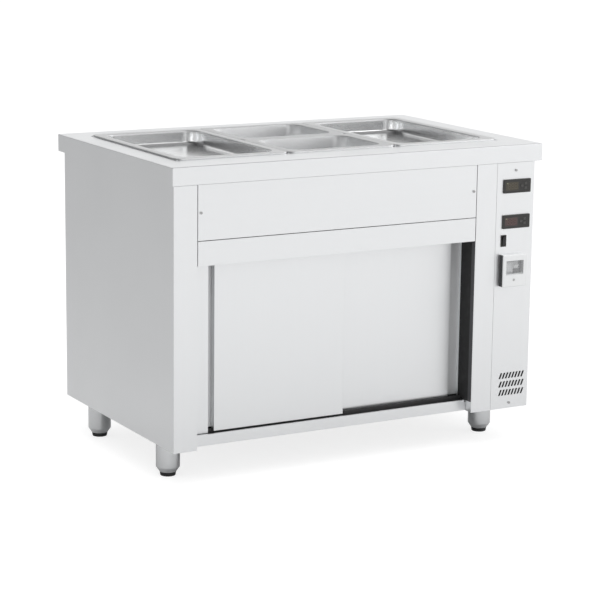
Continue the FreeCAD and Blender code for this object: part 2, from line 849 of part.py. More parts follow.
def make_pan(label, x, y, length, depth):
    """A gastronorm pan: a rim with a turned-down edge round a tapered tub, from the rim's top down."""
    body = new_body(label, x, y, "rim_high")
    pad(body, rectangle(new_sketch(body), "0", "0", "pan_width", length), "rim_height", back=True)
    under = rectangle(new_sketch(body, lift="-rim_height"), "pan_sheet", "pan_sheet",
                      "pan_width - 2 * pan_sheet", f"{length} - 2 * pan_sheet")
    pocket(body, under, "rim_height - pan_sheet", back=True)
    round_edges(body, "rim_corner - pan_sheet", between("-rim_height", "-pan_sheet"))
    round_edges(body, "rim_corner", between("-rim_height", "0"))
    round_edges(body, "pan_sheet", level("0"))
    tub = rectangle(new_sketch(body, lift="-pan_sheet / 2"), "rim_width", "rim_width",
                    "pan_width - 2 * rim_width", f"{length} - 2 * rim_width")
    pad(body, tub, f"{depth} - pan_sheet / 2", back=True, taper="-pan_taper")
    inner = rectangle(new_sketch(body), "rim_width + pan_sheet", "rim_width + pan_sheet",
                      "pan_width - 2 * rim_width - 2 * pan_sheet",
                      f"{length} - 2 * rim_width - 2 * pan_sheet")
    pocket(body, inner, f"{depth} - pan_sheet", taper="-pan_taper")
    round_edges(body, "pan_corner - pan_sheet", between(f"pan_sheet - {depth}", "0"))
    round_edges(body, "pan_bend - pan_sheet", level(f"pan_sheet - {depth}"))
    round_edges(body, "pan_corner", between(f"-{depth}", "-pan_sheet"))
    round_edges(body, "pan_bend", level(f"-{depth}"))
    inset, wide, long = number("rim_width / 2"), number("pan_width"), number(length)
    on_top = level("0")

    def at_mouth(a, b):
        return inset < a.x < wide - inset and inset < a.y < long - inset and on_top(a, b)
    round_edges(body, "2 * pan_sheet", at_mouth)


def make_pans():
    make_pan("pan_left", "rims_left", "rims_front", "pan_length", "shallow_depth")
    make_pan("pan_middle_front", "rims_left + pan_pitch", "rims_front", "half_length", "deep_depth")
    make_pan("pan_middle_rear", "rims_left + pan_pitch", "rims_front + half_length + pan_gap", "half_length",
             "deep_depth")
    make_pan("pan_right", "rims_left + 2 * pan_pitch", "rims_front", "pan_length", "shallow_depth")


def make_long_bar(label, middle, notch_x):
    """A channel across the well, its ends on the well's step, with a notch for the cross bar."""
    start = f"{middle} - bar_width / 2"
    tab = box(start, "hole_front + bar_clearance", "ledge_high - bar_sheet", "bar_width",
              "hole_length - 2 * bar_clearance", "bar_sheet")
    web = box(start, "well_front + bar_clearance", "ledge_high - bar_height", "bar_width",
              "well_length - 2 * bar_clearance", "bar_height")
    hollow = box(f"{start} + bar_sheet", "well_front - overrun", "ledge_high - bar_height - overrun",
                 "bar_width - 2 * bar_sheet", "well_length + 2 * overrun", "bar_height + overrun - bar_sheet")
    notch = box(notch_x, "cross_front", "ledge_high - bar_sheet", "notch_reach + overrun", "bar_width",
                "bar_sheet + overrun")
    node(cut(fuse(tab, web), hollow, notch), label)


def make_bars():
    make_long_bar("divider_bar_left", "bar_left_middle", "bar_left_middle + bar_width / 2 - notch_reach")
    make_long_bar("divider_bar_right", "bar_right_middle", "bar_right_middle - bar_width / 2 - overrun")
    left = "bar_left_middle + bar_width / 2 + bar_clearance"
    span = "pan_pitch - bar_width - 2 * bar_clearance"
    front, width = "cross_front + bar_clearance", "bar_width - 2 * bar_clearance"
    tab = box(f"{left} - notch_reach + bar_clearance", front, "ledge_high - bar_sheet",
              f"{span} + 2 * notch_reach - 2 * bar_clearance", width, "bar_sheet")
    web = box(left, front, "ledge_high - bar_height", span, width, "bar_height")
    hollow = box(f"{left} - overrun", f"{front} + bar_sheet", "ledge_high - bar_height - overrun",
                 f"{span} + 2 * overrun", f"{width} - 2 * bar_sheet", "bar_height + overrun - bar_sheet")
    node(cut(fuse(tab, web), hollow), "divider_bar_cross")


# Cabinet

def make_shell():
    node(box("cab_left", "cab_front + shell_sheet", "cabinet_lift", "shell_sheet",
             "back_inner - cab_front - shell_sheet", "shell_height"), "side_panel_left")
    node(box("cab_right - shell_sheet", "landing_front", "cabinet_lift", "shell_sheet",
             "back_inner - landing_front", "shell_height"), "side_panel_right")

    rear = box("cab_left", "back_inner", "cabinet_lift", "cab_right - cab_left", "shell_sheet",
               "shell_height")
    rail = box("column_middle - din_width / 2", "back_inner - din_depth", "din_lift", "din_width",
               "din_depth", "din_height")
    hole = cylinder("gland_x", "cab_back - overrun", "gland_z", "gland_radius + through_gap", "2 * overrun",
                    "Y")
    node(cut(fuse(rear, rail), hole), "back_panel")

    base = tray("cab_left + shell_sheet", "rail_back", "cabinet_lift",
                "cab_right - cab_left - 2 * shell_sheet", "(back_inner - rail_back)", "floor_rise")
    drain = cylinder("drain_x", "drain_y", "cabinet_lift", "drain_radius + through_gap",
                     "floor_rise + overrun")
    node(cut(base, drain), "base_panel")


def post_return(x):
    """A post's return: down to the feet before the rail, and to the floor behind it."""
    return [box(x, "cab_front + shell_sheet", "cabinet_lift", "shell_sheet",
                "rail_back - cab_front - shell_sheet", "fascia_low - cabinet_lift"),
            box(x, "rail_back", "floor_high", "shell_sheet", "stile_front - rail_back",
                "fascia_low - floor_high")]


def make_posts():
    landing = "landing_width + seal_thickness + shell_sheet"
    turn_x = "post_right_edge - seal_thickness - shell_sheet"
    jamb = box(turn_x, "front_door_face", "guide_high", f"post_right_edge + jamb_width - ({turn_x})",
               "shell_sheet", "header_low - guide_high")
    left = fuse(box("cab_left", "cab_front", "cabinet_lift", "post_width", "shell_sheet", "front_height"),
                jamb,
                box(turn_x, "landing_front", "header_low", landing, "shell_sheet", "fascia_low - header_low"),
                *post_return(turn_x))
    hole = cylinder("screw_left", "cab_front", "apron_screw_z", "screw_shank + screw_gap",
                    "panel_fold + overrun", "Y")
    node(cut(left, hole), "front_post_left")

    strips = [box("right_post_right - shell_sheet", "landing_front", f"{z} - strip_height / 2",
                  "cab_right - right_post_right", "shell_sheet", "strip_height")
              for z in ("column_screw_high_z", "column_screw_low_z")]
    right = fuse(box("right_post_left", "cab_front", "cabinet_lift", "right_post_width", "shell_sheet",
                     "front_height"),
                 box("right_post_left - landing_width", "landing_front", "header_low", landing, "shell_sheet",
                     "fascia_low - header_low"),
                 box("right_post_right - shell_sheet", "cab_front", "cabinet_lift", "shell_sheet",
                     "panel_fold + shell_sheet", "front_height"),
                 *post_return("right_post_left + seal_thickness"), *strips)
    holes = [cylinder(x, "cab_front", z, "screw_shank + screw_gap", "panel_fold + overrun", "Y")
             for x, z in (("screw_right", "apron_screw_z"), ("column_middle", "column_screw_high_z"),
                          ("column_middle", "column_screw_low_z"))]
    node(cut(right, *holes), "front_post_right")

    strips = [box(x, "cab_front + shell_sheet", "rail_high", "seal_thickness", depth,
                  "header_low - rail_high")
              for x, depth in (("post_right_edge - seal_thickness", "door_setback - shell_sheet"),
                               ("right_post_left", "seal_depth"))]
    node(fuse(*strips), "jamb_seals")


def folded_panel(label, x, z, width, height):
    """A front panel with its four edges folded back."""
    body = new_body(label, x, "cab_front", z)
    pad(body, rectangle(new_sketch(body, "XZ_Plane"), "0", "0", width, height), "panel_fold", back=True)
    hollow = rectangle(new_sketch(body, "XZ_Plane", "-panel_fold"), "shell_sheet", "shell_sheet",
                       f"{width} - 2 * shell_sheet", f"{height} - 2 * shell_sheet")
    pocket(body, hollow, "panel_fold - shell_sheet", back=True)
    return body


def make_front_panels():
    apron = folded_panel("apron_panel", "span_left", "apron_low", "span_width", "apron_height")
    holes = new_sketch(apron, "XZ_Plane")
    for u in ("screw_edge", "span_width - screw_edge"):
        circle(holes, u, "apron_height - screw_drop", "screw_shank + screw_gap")
    pocket(apron, holes, "shell_sheet + overrun")

    front = box("span_left", "cab_front", "header_low", "span_width", "shell_sheet", "header_height")
    low = box("span_left", "cab_front", "header_low", "span_width", "panel_fold", "shell_sheet")
    top = box("post_right_edge + landing_width", "cab_front", "header_under",
              "opening_width - 2 * landing_width", "stile_front + shell_sheet - cab_front", "shell_sheet")
    ends = [box(x, "cab_front", "header_low", "shell_sheet", "panel_fold", "header_height")
            for x in ("span_left", "span_left + span_width - shell_sheet")]
    node(fuse(front, low, top, *ends), "header_rail")

    face = box("post_right_edge", "rail_front", "cabinet_lift", "opening_width", "shell_sheet", "rail_height")
    fold = box("post_right_edge", "rail_front", "guide_high", "opening_width", "rail_fold", "shell_sheet")
    node(fuse(face, fold), "bottom_rail")


def heater_leads():
    return [f"fan_y + {side} * heater_radius" for side in (-1, 1)]


def make_cupboard():
    # A fold of the left stile stands just behind the front door, as the floor of the gap beside it
    rebate_face = "(front_door_face + door_thickness + rebate_gap)"
    rebate_low = "(guide_high + fin_height + rebate_gap)"
    rebate_height = f"header_low - {rebate_low}"
    left = fuse(box("chamber_left", "stile_front", "floor_high", "shell_sheet", "chamber_depth",
                    "liner_height"),
                box("chamber_left", "stile_front", "floor_high",
                    "post_right_edge + stile_left - chamber_left", "shell_sheet", "liner_height"),
                box("post_right_edge + stile_left - rebate_width", rebate_face, rebate_low,
                    "rebate_width", "shell_sheet", rebate_height),
                box("post_right_edge + stile_left - shell_sheet", rebate_face, rebate_low,
                    "shell_sheet", f"stile_front - {rebate_face} + shell_sheet", rebate_height))
    node(left, "liner_left")
    right = fuse(box("chamber_right", "stile_front", "floor_high", "shell_sheet", "chamber_depth",
                     "liner_height"),
                 box("right_post_left - stile_right", "stile_front", "floor_high",
                     "chamber_right + shell_sheet - right_post_left + stile_right", "shell_sheet",
                     "liner_height"))
    holes = [cylinder("chamber_right - overrun", "fan_y", "fan_z", "shaft_hole", "2 * overrun", "X")]
    for y in heater_leads():
        holes.append(cylinder("chamber_right - overrun", y, "fan_z", "heater_lead_radius + through_gap",
                              "2 * overrun", "X"))
    node(cut(right, *holes), "liner_right")
    node(box("chamber_left", "chamber_back", "floor_high", "liner_width", "shell_sheet", "liner_height"),
         "liner_back")
    node(fuse(box("chamber_left", "stile_front", "track_high", "liner_width", "chamber_depth + shell_sheet",
                  "shell_sheet"),
              box("chamber_left", "stile_front", "track_high", "liner_width", "shell_sheet",
                  "header_under - track_high")), "liner_ceiling")

    node(tray("shelf_left", "stile_front + shelf_edge", "shelf_high - shelf_edge", "shelf_width",
              "chamber_depth - shelf_edge - shelf_gap", "shelf_edge"), "shelf")
    rails = []
    for flat_x, web_x in (("chamber_left + shell_sheet", "chamber_left + shell_sheet"),
                          ("chamber_right - shelf_rail_width", "chamber_right - shell_sheet")):
        rails.append(box(flat_x, "stile_front + 2 * shelf_edge", "shelf_high - shelf_edge - shell_sheet",
                         "shelf_rail_width", "chamber_depth - 3 * shelf_edge", "shell_sheet"))
        rails.append(box(web_x, "stile_front + 2 * shelf_edge", "shelf_high - 2 * shelf_edge", "shell_sheet",
                         "chamber_depth - 3 * shelf_edge", "shelf_edge"))
    node(fuse(*rails), "shelf_rails")


def make_door(label, x, y):
    """A hollow door with a groove in its lower edge for the guide's fin."""
    body = new_body(label, x, y, "door_low")
    panel = rectangle(new_sketch(body, "XZ_Plane"), "0", "0", "door_width", "door_height")
    pad(body, panel, "door_thickness", back=True)
    round_edges(body, "door_bend", upright)
    groove_y = "door_thickness / 2 - fin_width / 2 - fin_clearance"
    groove_width = "fin_width + 2 * fin_clearance"
    groove = rectangle(new_sketch(body), "-overrun", groove_y, "door_width + 2 * overrun", groove_width)
    pocket(body, groove, "fin_height - door_bottom_gap + glide_gap", back=True)
    inside = rectangle(new_sketch(body, lift="fin_height"), "door_skin", "door_skin",
                       "door_width - 2 * door_skin", "door_thickness - 2 * door_skin")
    pocket(body, inside, "door_height - fin_height - door_skin", back=True)


def make_doors():
    make_door("door_left", "post_right_edge + door_left_place", "front_door_face")
    make_door("door_right", "right_post_left - door_right_place - door_width", "rear_door_face")

    start, width = "post_right_edge", "opening_width"
    hang = box(start, "track_front", "header_low", width, "track_wall", "header_under - header_low")
    top = box(start, "track_front", "track_low", width, "track_back - track_front", "track_wall")
    middle = box(start, "front_door_face + door_thickness + track_clearance", "header_low", width,
                 "track_pitch - groove_width", "track_high - header_low")
    rear = box(start, "track_back - track_wall", "header_low", width, "track_wall", "track_high - header_low")
    stops = [box(x, f"{face} - track_clearance", "header_low", "stop_length", "groove_width",
                 "track_low - header_low")
             for face in ("front_door_face", "rear_door_face")
             for x in ("closed_left - track_clearance - stop_length", "closed_right + track_clearance")]
    node(fuse(hang, top, middle, rear, *stops), "door_track")

    plate = box(start, "rail_back", "floor_high", width, "stile_front - rail_back", "guide_high - floor_high")
    fins = [box(start, f"{face} + door_thickness / 2 - fin_width / 2", "guide_high", width, "fin_width",
                "fin_height") for face in ("front_door_face", "rear_door_face")]
    node(fuse(plate, *fins), "bottom_guide")


# Control column

def make_column_panel():
    body = folded_panel("column_panel", "column_left", "cabinet_lift", "column_width", "front_height")

    def opening(x, z, width, height, inset):
        sketch = rectangle(new_sketch(body, "XZ_Plane"), f"{x} - column_left + {inset}",
                           f"{z} - cabinet_lift + {inset}", f"{width} - 2 * {inset}",
                           f"{height} - 2 * {inset}")
        pocket(body, sketch, "shell_sheet + overrun")

    for low in ("well_controller_low", "cupboard_controller_low"):
        opening("controller_left", low, "controller_width", "controller_height",
                "(controller_margin - cutout_gap)")
    opening("rocker_x", "rocker_low", "rocker_width", "rocker_height", "(rocker_wall - cutout_gap)")
    opening("window_x", "window_low", "window_width", "window_height", "(breaker_margin - cutout_gap)")
    holes = new_sketch(body, "XZ_Plane")
    for x, z in (("column_middle", "column_screw_high_z"), ("column_middle", "column_screw_low_z"),
                 ("box_screw_x", "box_screw_z")):
        circle(holes, f"{x} - column_left", f"{z} - cabinet_lift", "screw_shank + screw_gap")
    pocket(body, holes, "shell_sheet + overrun")
    for row in range(VENT_ROWS):
        low = f"vent_low + {row} * slot_row_pitch"
        high = f"{low} + slot_height"
        slot = draw_loop(new_sketch(body, "XZ_Plane"),
                         [("vent_left", low), ("vent_left + slot_width", low),
                          ("vent_left + slot_width + slot_lean", high), ("vent_left + slot_lean", high)])
        first = pocket(body, slot, "shell_sheet + overrun")
        repeat_along(body, first, "X_Axis", f"{VENT_SLOTS - 1} * slot_pitch", VENT_SLOTS)


# The keys of a controller, and how many pitches each lies in from the right and up from the middle
KEY_SHARES = {"set": (1.5, 0), "up": (0.5, 0.5), "down": (0.5, -0.5)}


def key_corner(name):
    """A key's lower left corner from the controller's."""
    across_share, up_share = KEY_SHARES[name]
    return (f"controller_width - key_edge - {across_share} * key_pitch - key_width / 2",
            f"controller_height / 2 + {up_share} * key_pitch - key_height / 2")


def make_controller(label, low):
    body = new_body(label, "controller_left", "cab_front", low)
    bezel = rectangle(new_sketch(body, "XZ_Plane"), "0", "0", "controller_width", "controller_height")
    pad(body, bezel, "controller_bezel")
    round_edges(body, "controller_round", fore_and_aft)
    case = rectangle(new_sketch(body, "XZ_Plane"), "controller_margin", "controller_margin",
                     "controller_width - 2 * controller_margin", "controller_height - 2 * controller_margin")
    pad(body, case, "controller_housing", back=True)
    for name in KEY_SHARES:
        u, v = key_corner(name)
        hole = rectangle(new_sketch(body, "XZ_Plane", "controller_bezel"), f"{u} - key_clearance",
                         f"{v} - key_clearance", "key_width + 2 * key_clearance",
                         "key_height + 2 * key_clearance")
        pocket(body, hole, "key_hole")


def make_keys(prefix, low):
    for name in KEY_SHARES:
        u, v = key_corner(name)
        key = new_body(prefix + "_key_" + name, f"controller_left + {u}", "cab_front - controller_bezel",
                       f"{low} + {v}")
        face = rectangle(new_sketch(key, "XZ_Plane", "key_proud"), "0", "0", "key_width", "key_height")
        pad(key, face, "key_proud + key_depth", back=True)
        front = number("-key_proud")
        round_edges(key, "key_proud / 2", lambda a, b: same(a.y, front) and same(b.y, front))


def make_rocker():
    frame = fuse(box("rocker_x", "cab_front - rocker_bezel", "rocker_low", "rocker_width", "rocker_bezel",
                     "rocker_height"),
                 box("rocker_x + rocker_wall", "cab_front", "rocker_low + rocker_wall",
                     "rocker_width - 2 * rocker_wall", "rocker_housing", "rocker_height - 2 * rocker_wall"))
    inset = "(2 * rocker_wall - rocker_play)"
    inside = box(f"rocker_x + {inset}", "cab_front - rocker_bezel - overrun", f"rocker_low + {inset}",
                 f"rocker_width - 2 * {inset}", "rocker_bezel + overrun + rocker_housing - rocker_wall",
                 f"rocker_height - 2 * {inset}")
    hole = cylinder("rocker_x", "cab_front + rocker_axis", "rocker_middle", "rocker_pin + rocker_pin_gap",
                    "rocker_width", "X")
    node(cut(frame, inside, hole), "rocker_frame")

    body = new_body("rocker_switch", "rocker_x + 2 * rocker_wall + rocker_play", "cab_front + rocker_axis",
                    "rocker_middle")
    tilt(body, "rocker_tilt")
    side = draw_loop(new_sketch(body, "YZ_Plane"),
                     [("-rocker_face", "rocker_half"), ("rocker_rise * rocker_dip_share - rocker_face", "0"),
                      ("-rocker_face", "-rocker_half"), ("0", "-rocker_half"),
                      ("rocker_depth", "-rocker_half * rocker_waist_share"),
                      ("rocker_depth", "rocker_half * rocker_waist_share"), ("0", "rocker_half")])
    pad(body, side, "rocker_width - 4 * rocker_wall - 2 * rocker_play")
    pins = circle(new_sketch(body, "YZ_Plane", "-rocker_wall - rocker_play"), "0", "0", "rocker_pin")
    pad(body, pins, "rocker_width - 2 * rocker_wall")


def make_switch_box():
    body = new_body("switch_box", "box_x", "cab_front", "box_low")
    pad(body, rectangle(new_sketch(body, "XZ_Plane"), "0", "0", "box_width", "box_height"), "box_depth")
    front = number("-box_depth")
    round_edges(body, "box_round",
                lambda a, b: fore_and_aft(a, b) or (same(a.y, front) and same(b.y, front)))
    cavity = rectangle(new_sketch(body, "XZ_Plane"), "box_wall", "box_wall", "box_width - 2 * box_wall",
                       "box_height - 2 * box_wall")
    pocket(body, cavity, "box_depth - box_wall", back=True)
    low = "window_low - box_low"
    rest = rectangle(new_sketch(body, "XZ_Plane", "box_depth - box_wall"), "window_left - box_wall",
                     f"{low} - box_wall", "window_width + 2 * box_wall", "box_wall + window_rest")
    window = rectangle(new_sketch(body, "XZ_Plane", "box_depth"), "window_left", low, "window_width",
                       "window_height")
    pocket(body, window, "box_wall")
    pad(body, rest, "box_wall / 2", back=True)
    pins = circle(new_sketch(body, "YZ_Plane", "window_left - window_pin_reach - window_play"),
                  "window_axis_y - cab_front", "window_axis_z - box_low", "window_pin + window_pin_gap")
    pocket(body, pins, "window_width + 2 * window_pin_reach + 2 * window_play", back=True)
    u, v = "box_screw_x - box_x", "box_screw_z - box_low"
    boss = circle(new_sketch(body, "XZ_Plane"), u, v, "box_boss_radius")
    pad(body, boss, "box_depth - box_wall / 2")
    seat = circle(new_sketch(body, "XZ_Plane", "box_depth"), u, v, "screw_head + screw_gap")
    pocket(body, seat, "screw_head_height + screw_gap")
    way = circle(new_sketch(body, "XZ_Plane", "box_depth"), u, v, "screw_shank + screw_gap")
    pocket(body, way, "box_depth + overrun")


def make_window():
    body = new_body("switch_window", "window_x", "window_axis_y", "window_axis_z")
    half, drop = "window_thickness / 2", "(window_axis_z - window_low - window_play)"
    width = "window_width - 2 * window_play"
    flap = rectangle(new_sketch(body, "YZ_Plane", "window_play"), f"-{half}", f"-{drop}", "window_thickness",
                     drop)
    pad(body, flap, width)
    pad(body, circle(new_sketch(body, "YZ_Plane", "window_play"), "0", "0", half), width)
    pins = circle(new_sketch(body, "YZ_Plane", "-window_pin_reach"), "0", "0", "window_pin")
    pad(body, pins, "window_width + 2 * window_pin_reach")


def make_breaker():
    neck = box("window_x + breaker_margin", "breaker_front", "window_low + breaker_margin",
               "window_width - 2 * breaker_margin", "breaker_face + shell_sheet",
               "window_height - 2 * breaker_margin")
    edge = "(breaker_margin - breaker_shoulder)"
    case = box(f"window_x + {edge}", "panel_back", f"window_low + {edge}", f"window_width - 2 * {edge}",
               "breaker_depth", f"window_height - 2 * {edge}")
    seat = cylinder("toggle_x - toggle_gap", "toggle_y", "toggle_z", "toggle_radius + toggle_gap",
                    "toggle_width + 2 * toggle_gap", "X")
    node(cut(fuse(neck, case), seat), "breaker")

    body = new_body("breaker_toggle", "toggle_x", "toggle_y", "toggle_z")
    tilt(body, "-toggle_tilt")
    pad(body, circle(new_sketch(body, "YZ_Plane"), "0", "0", "toggle_radius"), "toggle_width")
    arm = rectangle(new_sketch(body, "YZ_Plane"), "-toggle_reach", "-toggle_arm / 2", "toggle_reach",
                    "toggle_arm")
    pad(body, arm, "toggle_width")


# Fan unit in the cupboard

def make_fan():
    impeller = new_body("fan_impeller", "fan_x", "fan_y", "fan_z")
    plate = circle(new_sketch(impeller, "YZ_Plane", "-fan_plate"), "0", "0", "fan_radius")
    pad(impeller, plate, "fan_plate")
    hub = circle(new_sketch(impeller, "YZ_Plane", "-fan_width"), "0", "0", "fan_hub")
    pad(impeller, hub, "fan_width")
    shaft = circle(new_sketch(impeller, "YZ_Plane"), "0", "0", "shaft_radius")
    pad(impeller, shaft, "shaft_length")
    blade = rectangle(new_sketch(impeller, "YZ_Plane", "-fan_width"), "-blade_thickness / 2",
                      "fan_radius - blade_length - blade_thickness", "blade_thickness", "blade_length")
    repeat_round(impeller, pad(impeller, blade, "fan_width"), "X_Axis", BLADES)

    outside = "chamber_right + shell_sheet"
    motor = cylinder(outside, "fan_y", "fan_z", "motor_radius", "motor_length", "X")
    bore = cylinder("chamber_right", "fan_y", "fan_z", "shaft_radius + shaft_gap", "shaft_length", "X")
    node(cut(motor, bore), "fan_motor")

    heater_x = "chamber_right - heater_standoff"
    parts = [ring(heater_x, "fan_y", "fan_z", "heater_radius", "heater_tube", "X")]
    for y in heater_leads():
        parts.append(cylinder(heater_x, y, "fan_z", "heater_lead_radius",
                              "heater_standoff + heater_lead", "X"))
        parts.append(cylinder("chamber_right - heater_collar", y, "fan_z", "heater_collar_radius",
                              "heater_collar", "X"))
    node(fuse(*parts), "air_heater")

    cover = new_body("fan_cover", "chamber_right", "fan_y", "fan_z")

    def square(half, lift=None, sketch=None):
        return rectangle(sketch or new_sketch(cover, "YZ_Plane", lift), f"-{half}", f"-{half}",
                         f"2 * {half}", f"2 * {half}")
    pad(cover, square("cover_half"), "cover_depth", back=True)
    pocket(cover, square("(cover_half - cover_sheet)"), "cover_depth - cover_sheet")
    flange = square("(cover_half - cover_sheet)")
    square("(cover_half + cover_flange)", sketch=flange)
    pad(cover, flange, "cover_sheet", back=True)
    slot = rectangle(new_sketch(cover, "YZ_Plane", "-cover_depth"), "-cover_slot_width / 2",
                     "cover_slot_start", "cover_slot_width", "cover_slot_length")
    repeat_round(cover, pocket(cover, slot, "cover_sheet + overrun", back=True), "X_Axis", COVER_SLOTS)
    outlet = rectangle(new_sketch(cover, "XZ_Plane"), "-(cover_depth + cover_slot_length) / 2",
                       "cover_slot_start - cover_half", "cover_slot_length", "cover_slot_width")
    first = pocket(cover, outlet, "2 * cover_half + 2 * overrun", both=True)
    repeat_along(cover, first, "Z_Axis", "2 * cover_half - 2 * cover_slot_start - cover_slot_width",
                 OUTLET_SLOTS)


def make_contactors():
    start = f"column_middle - {MODULES} * module_width / 2"
    front = "back_inner - din_depth - module_depth"
    low = "din_lift + din_height / 2 - module_height / 2"
    modules = []
    for index in range(MODULES):
        x = f"{start} + {index} * (module_width + through_gap)"
        modules.append(fuse(box(x, front, low, "module_width", "module_depth", "module_height"),
                            box(x, f"{front} - module_nose", f"{low} + module_height / 4", "module_width",
                                "module_nose", "module_height / 2")))
    node(fuse(*modules), "contactors")


def make_gland():
    stem = "back_inner - gland_nut_thickness"
    body = fuse(cylinder("gland_x", "cab_back", "gland_z", "gland_nut", "gland_length", "Y"),
                cylinder("gland_x", stem, "gland_z", "gland_radius", "cab_back + overrun - back_inner", "Y"),
                cylinder("gland_x", stem, "gland_z", "gland_nut", "gland_nut_thickness", "Y"))
    bore = cylinder("gland_x", f"{stem} - overrun", "gland_z", "gland_bore",
                    "cab_back + gland_length - back_inner + gland_nut_thickness + 2 * overrun", "Y")
    node(cut(body, bore), "cable_gland")


# Screws and legs

def screw(x, seat, z, length):
    """A round-headed screw with a cross recess, its head's underside at the seat."""
    top = f"{seat} - screw_head_height"
    body = fuse(cylinder(x, top, z, "screw_head", "screw_head_height", "Y"),
                cylinder(x, seat, z, "screw_shank", length, "Y"))
    across = box(f"{x} - screw_head / 2", f"{top} - overrun", f"{z} - screw_slot / 2", "screw_head",
                 "overrun + screw_recess", "screw_slot")
    upward = box(f"{x} - screw_slot / 2", f"{top} - overrun", f"{z} - screw_head / 2", "screw_slot",
                 "overrun + screw_recess", "screw_head")
    return cut(body, across, upward)


def make_screws():
    screws = [screw(x, "cab_front", z, "screw_length")
              for x, z in (("screw_left", "apron_screw_z"), ("screw_right", "apron_screw_z"),
                           ("column_middle", "column_screw_high_z"), ("column_middle", "column_screw_low_z"))]
    screws.append(screw("box_screw_x", "box_screw_seat", "box_screw_z",
                        "panel_back + screw_past - box_screw_seat"))
    node(fuse(*screws), "panel_screws")


def make_legs():
    sleeves = []
    for side, x in (("left", "leg_left"), ("right", "leg_right")):
        for end, y in (("front", "leg_front"), ("rear", "leg_rear")):
            outer = fuse(cone(x, y, "leg_cone_low", "leg_nose", "leg_radius", "leg_cone_height"),
                         cylinder(x, y, "leg_cone_high", "leg_radius", "leg_high - leg_cone_high"),
                         cylinder(x, y, "leg_high - leg_plate_thickness", "leg_plate",
                                  "leg_plate_thickness"))
            bore = cylinder(x, y, "leg_cone_low + leg_plug", "leg_radius - leg_wall",
                            "leg_high - leg_plate_thickness - leg_cone_low - leg_plug")
            thread = cylinder(x, y, "0", "pad_stem + pad_stem_gap", "leg_cone_low + leg_plug + overrun")
            sleeves.append(cut(outer, bore, thread))
            foot = fuse(cone(x, y, "0", "pad_low_radius", "pad_high_radius", "leg_cone_low - pad_gap"),
                        cylinder(x, y, "leg_cone_low - pad_gap", "pad_stem", "pad_stem_length"))
            node(foot, "foot_pad_" + end + "_" + side)
    node(fuse(*sleeves), "leg_sleeves")


def export():
    doc.recompute()
    for thing in doc.Objects:
        if {"Invalid", "Error"} & set(thing.State):
            raise RuntimeError("failed: " + thing.Label + " " + thing.Name)
    os.makedirs("parts", exist_ok=True)
    for thing in nodes:
        shape = thing.Shape
        if shape.isNull() or not shape.isValid() or not shape.Solids:
            raise RuntimeError("bad shape: " + thing.Label)
        shape.exportStep("parts/%s.step" % thing.Label)
        print(thing.Label, len(shape.Solids), round(shape.Volume))


fill_sheet()
make_worktop()
make_well()
make_heating_element()
make_drain()
make_pans()
make_bars()
make_shell()
make_posts()
make_front_panels()
make_cupboard()
make_doors()
make_column_panel()
for prefix in ("well", "cupboard"):
    make_controller(prefix + "_controller", prefix + "_controller_low")
    make_keys(prefix, prefix + "_controller_low")
make_rocker()
make_switch_box()
make_window()
make_breaker()
make_fan()
make_contactors()
make_gland()
make_screws()
make_legs()
export()
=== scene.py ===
"""Bain-marie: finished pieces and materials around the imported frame, laid out as an add-on.

Metres, +Z up, the doors face -Y and the control column is at +X.
"""
import json
import math

import bmesh
import bpy
from mathutils import Matrix, Vector


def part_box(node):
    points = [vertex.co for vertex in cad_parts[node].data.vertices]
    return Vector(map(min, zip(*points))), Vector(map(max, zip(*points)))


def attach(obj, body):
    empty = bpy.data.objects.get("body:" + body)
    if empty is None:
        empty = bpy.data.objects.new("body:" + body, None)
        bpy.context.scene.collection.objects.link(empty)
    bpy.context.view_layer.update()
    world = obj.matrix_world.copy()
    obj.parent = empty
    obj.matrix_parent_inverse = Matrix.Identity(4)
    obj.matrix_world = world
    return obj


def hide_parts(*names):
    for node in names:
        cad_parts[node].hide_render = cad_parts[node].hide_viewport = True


bl_info = {
    "name": "Bain-marie",
    "version": (1, 0, 0),
    "blender": (4, 5, 0),
    "location": "View3D > Sidebar > Bain-marie",
    "description": "Dresses the frame of a bain-marie with finished pieces and sets its stage",
    "category": "Object",
}

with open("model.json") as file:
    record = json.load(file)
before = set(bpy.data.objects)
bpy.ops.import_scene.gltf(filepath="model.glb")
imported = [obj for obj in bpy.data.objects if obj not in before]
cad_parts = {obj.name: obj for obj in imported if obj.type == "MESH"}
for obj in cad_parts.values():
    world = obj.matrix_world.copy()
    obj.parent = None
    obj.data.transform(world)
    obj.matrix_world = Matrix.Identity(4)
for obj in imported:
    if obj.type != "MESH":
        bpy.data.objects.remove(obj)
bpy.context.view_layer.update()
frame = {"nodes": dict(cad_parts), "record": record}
SLOTS = {part["node"]: part["material_slot"] for part in frame["record"]["subparts"]}
BODIES = {node: body for body, nodes in frame["record"]["behaviour"]["bodies"].items() for node in nodes}

# Limits for joining a CAD mesh's triangles, for shading it smooth and for rounding its edges
MERGE = 0.00001
FLAT_ANGLE = math.radians(0.5)
SHARP_ANGLE = math.radians(32)
BEVEL_ANGLE = math.radians(40)

# Widths of rounded edges; the folded sheet's own is a setting
LAYER_EDGE = 0.0001
FINE_EDGE = 0.0002
MOULDED_EDGE = 0.0003
EASED_EDGE = 0.0004
GLAND_EDGE = 0.0005
HOUSING_EDGE = 0.0008
MOTOR_EDGE = 0.001
PAD_EDGE = 0.0012

# Places of a Mix node's sockets, whose names are not unique
MIX_FACTOR = 0
MIX_NUMBERS = (2, 3)
MIX_COLOURS = (6, 7)
MIX_COLOUR_OUT = 2

# How often a brushed sheet's streaks and its broad tones change, per metre: across the grain and along it
STREAKS = (1500.0, 14.0)
BROAD_TONES = (90.0, 1.5)


# Shader maths

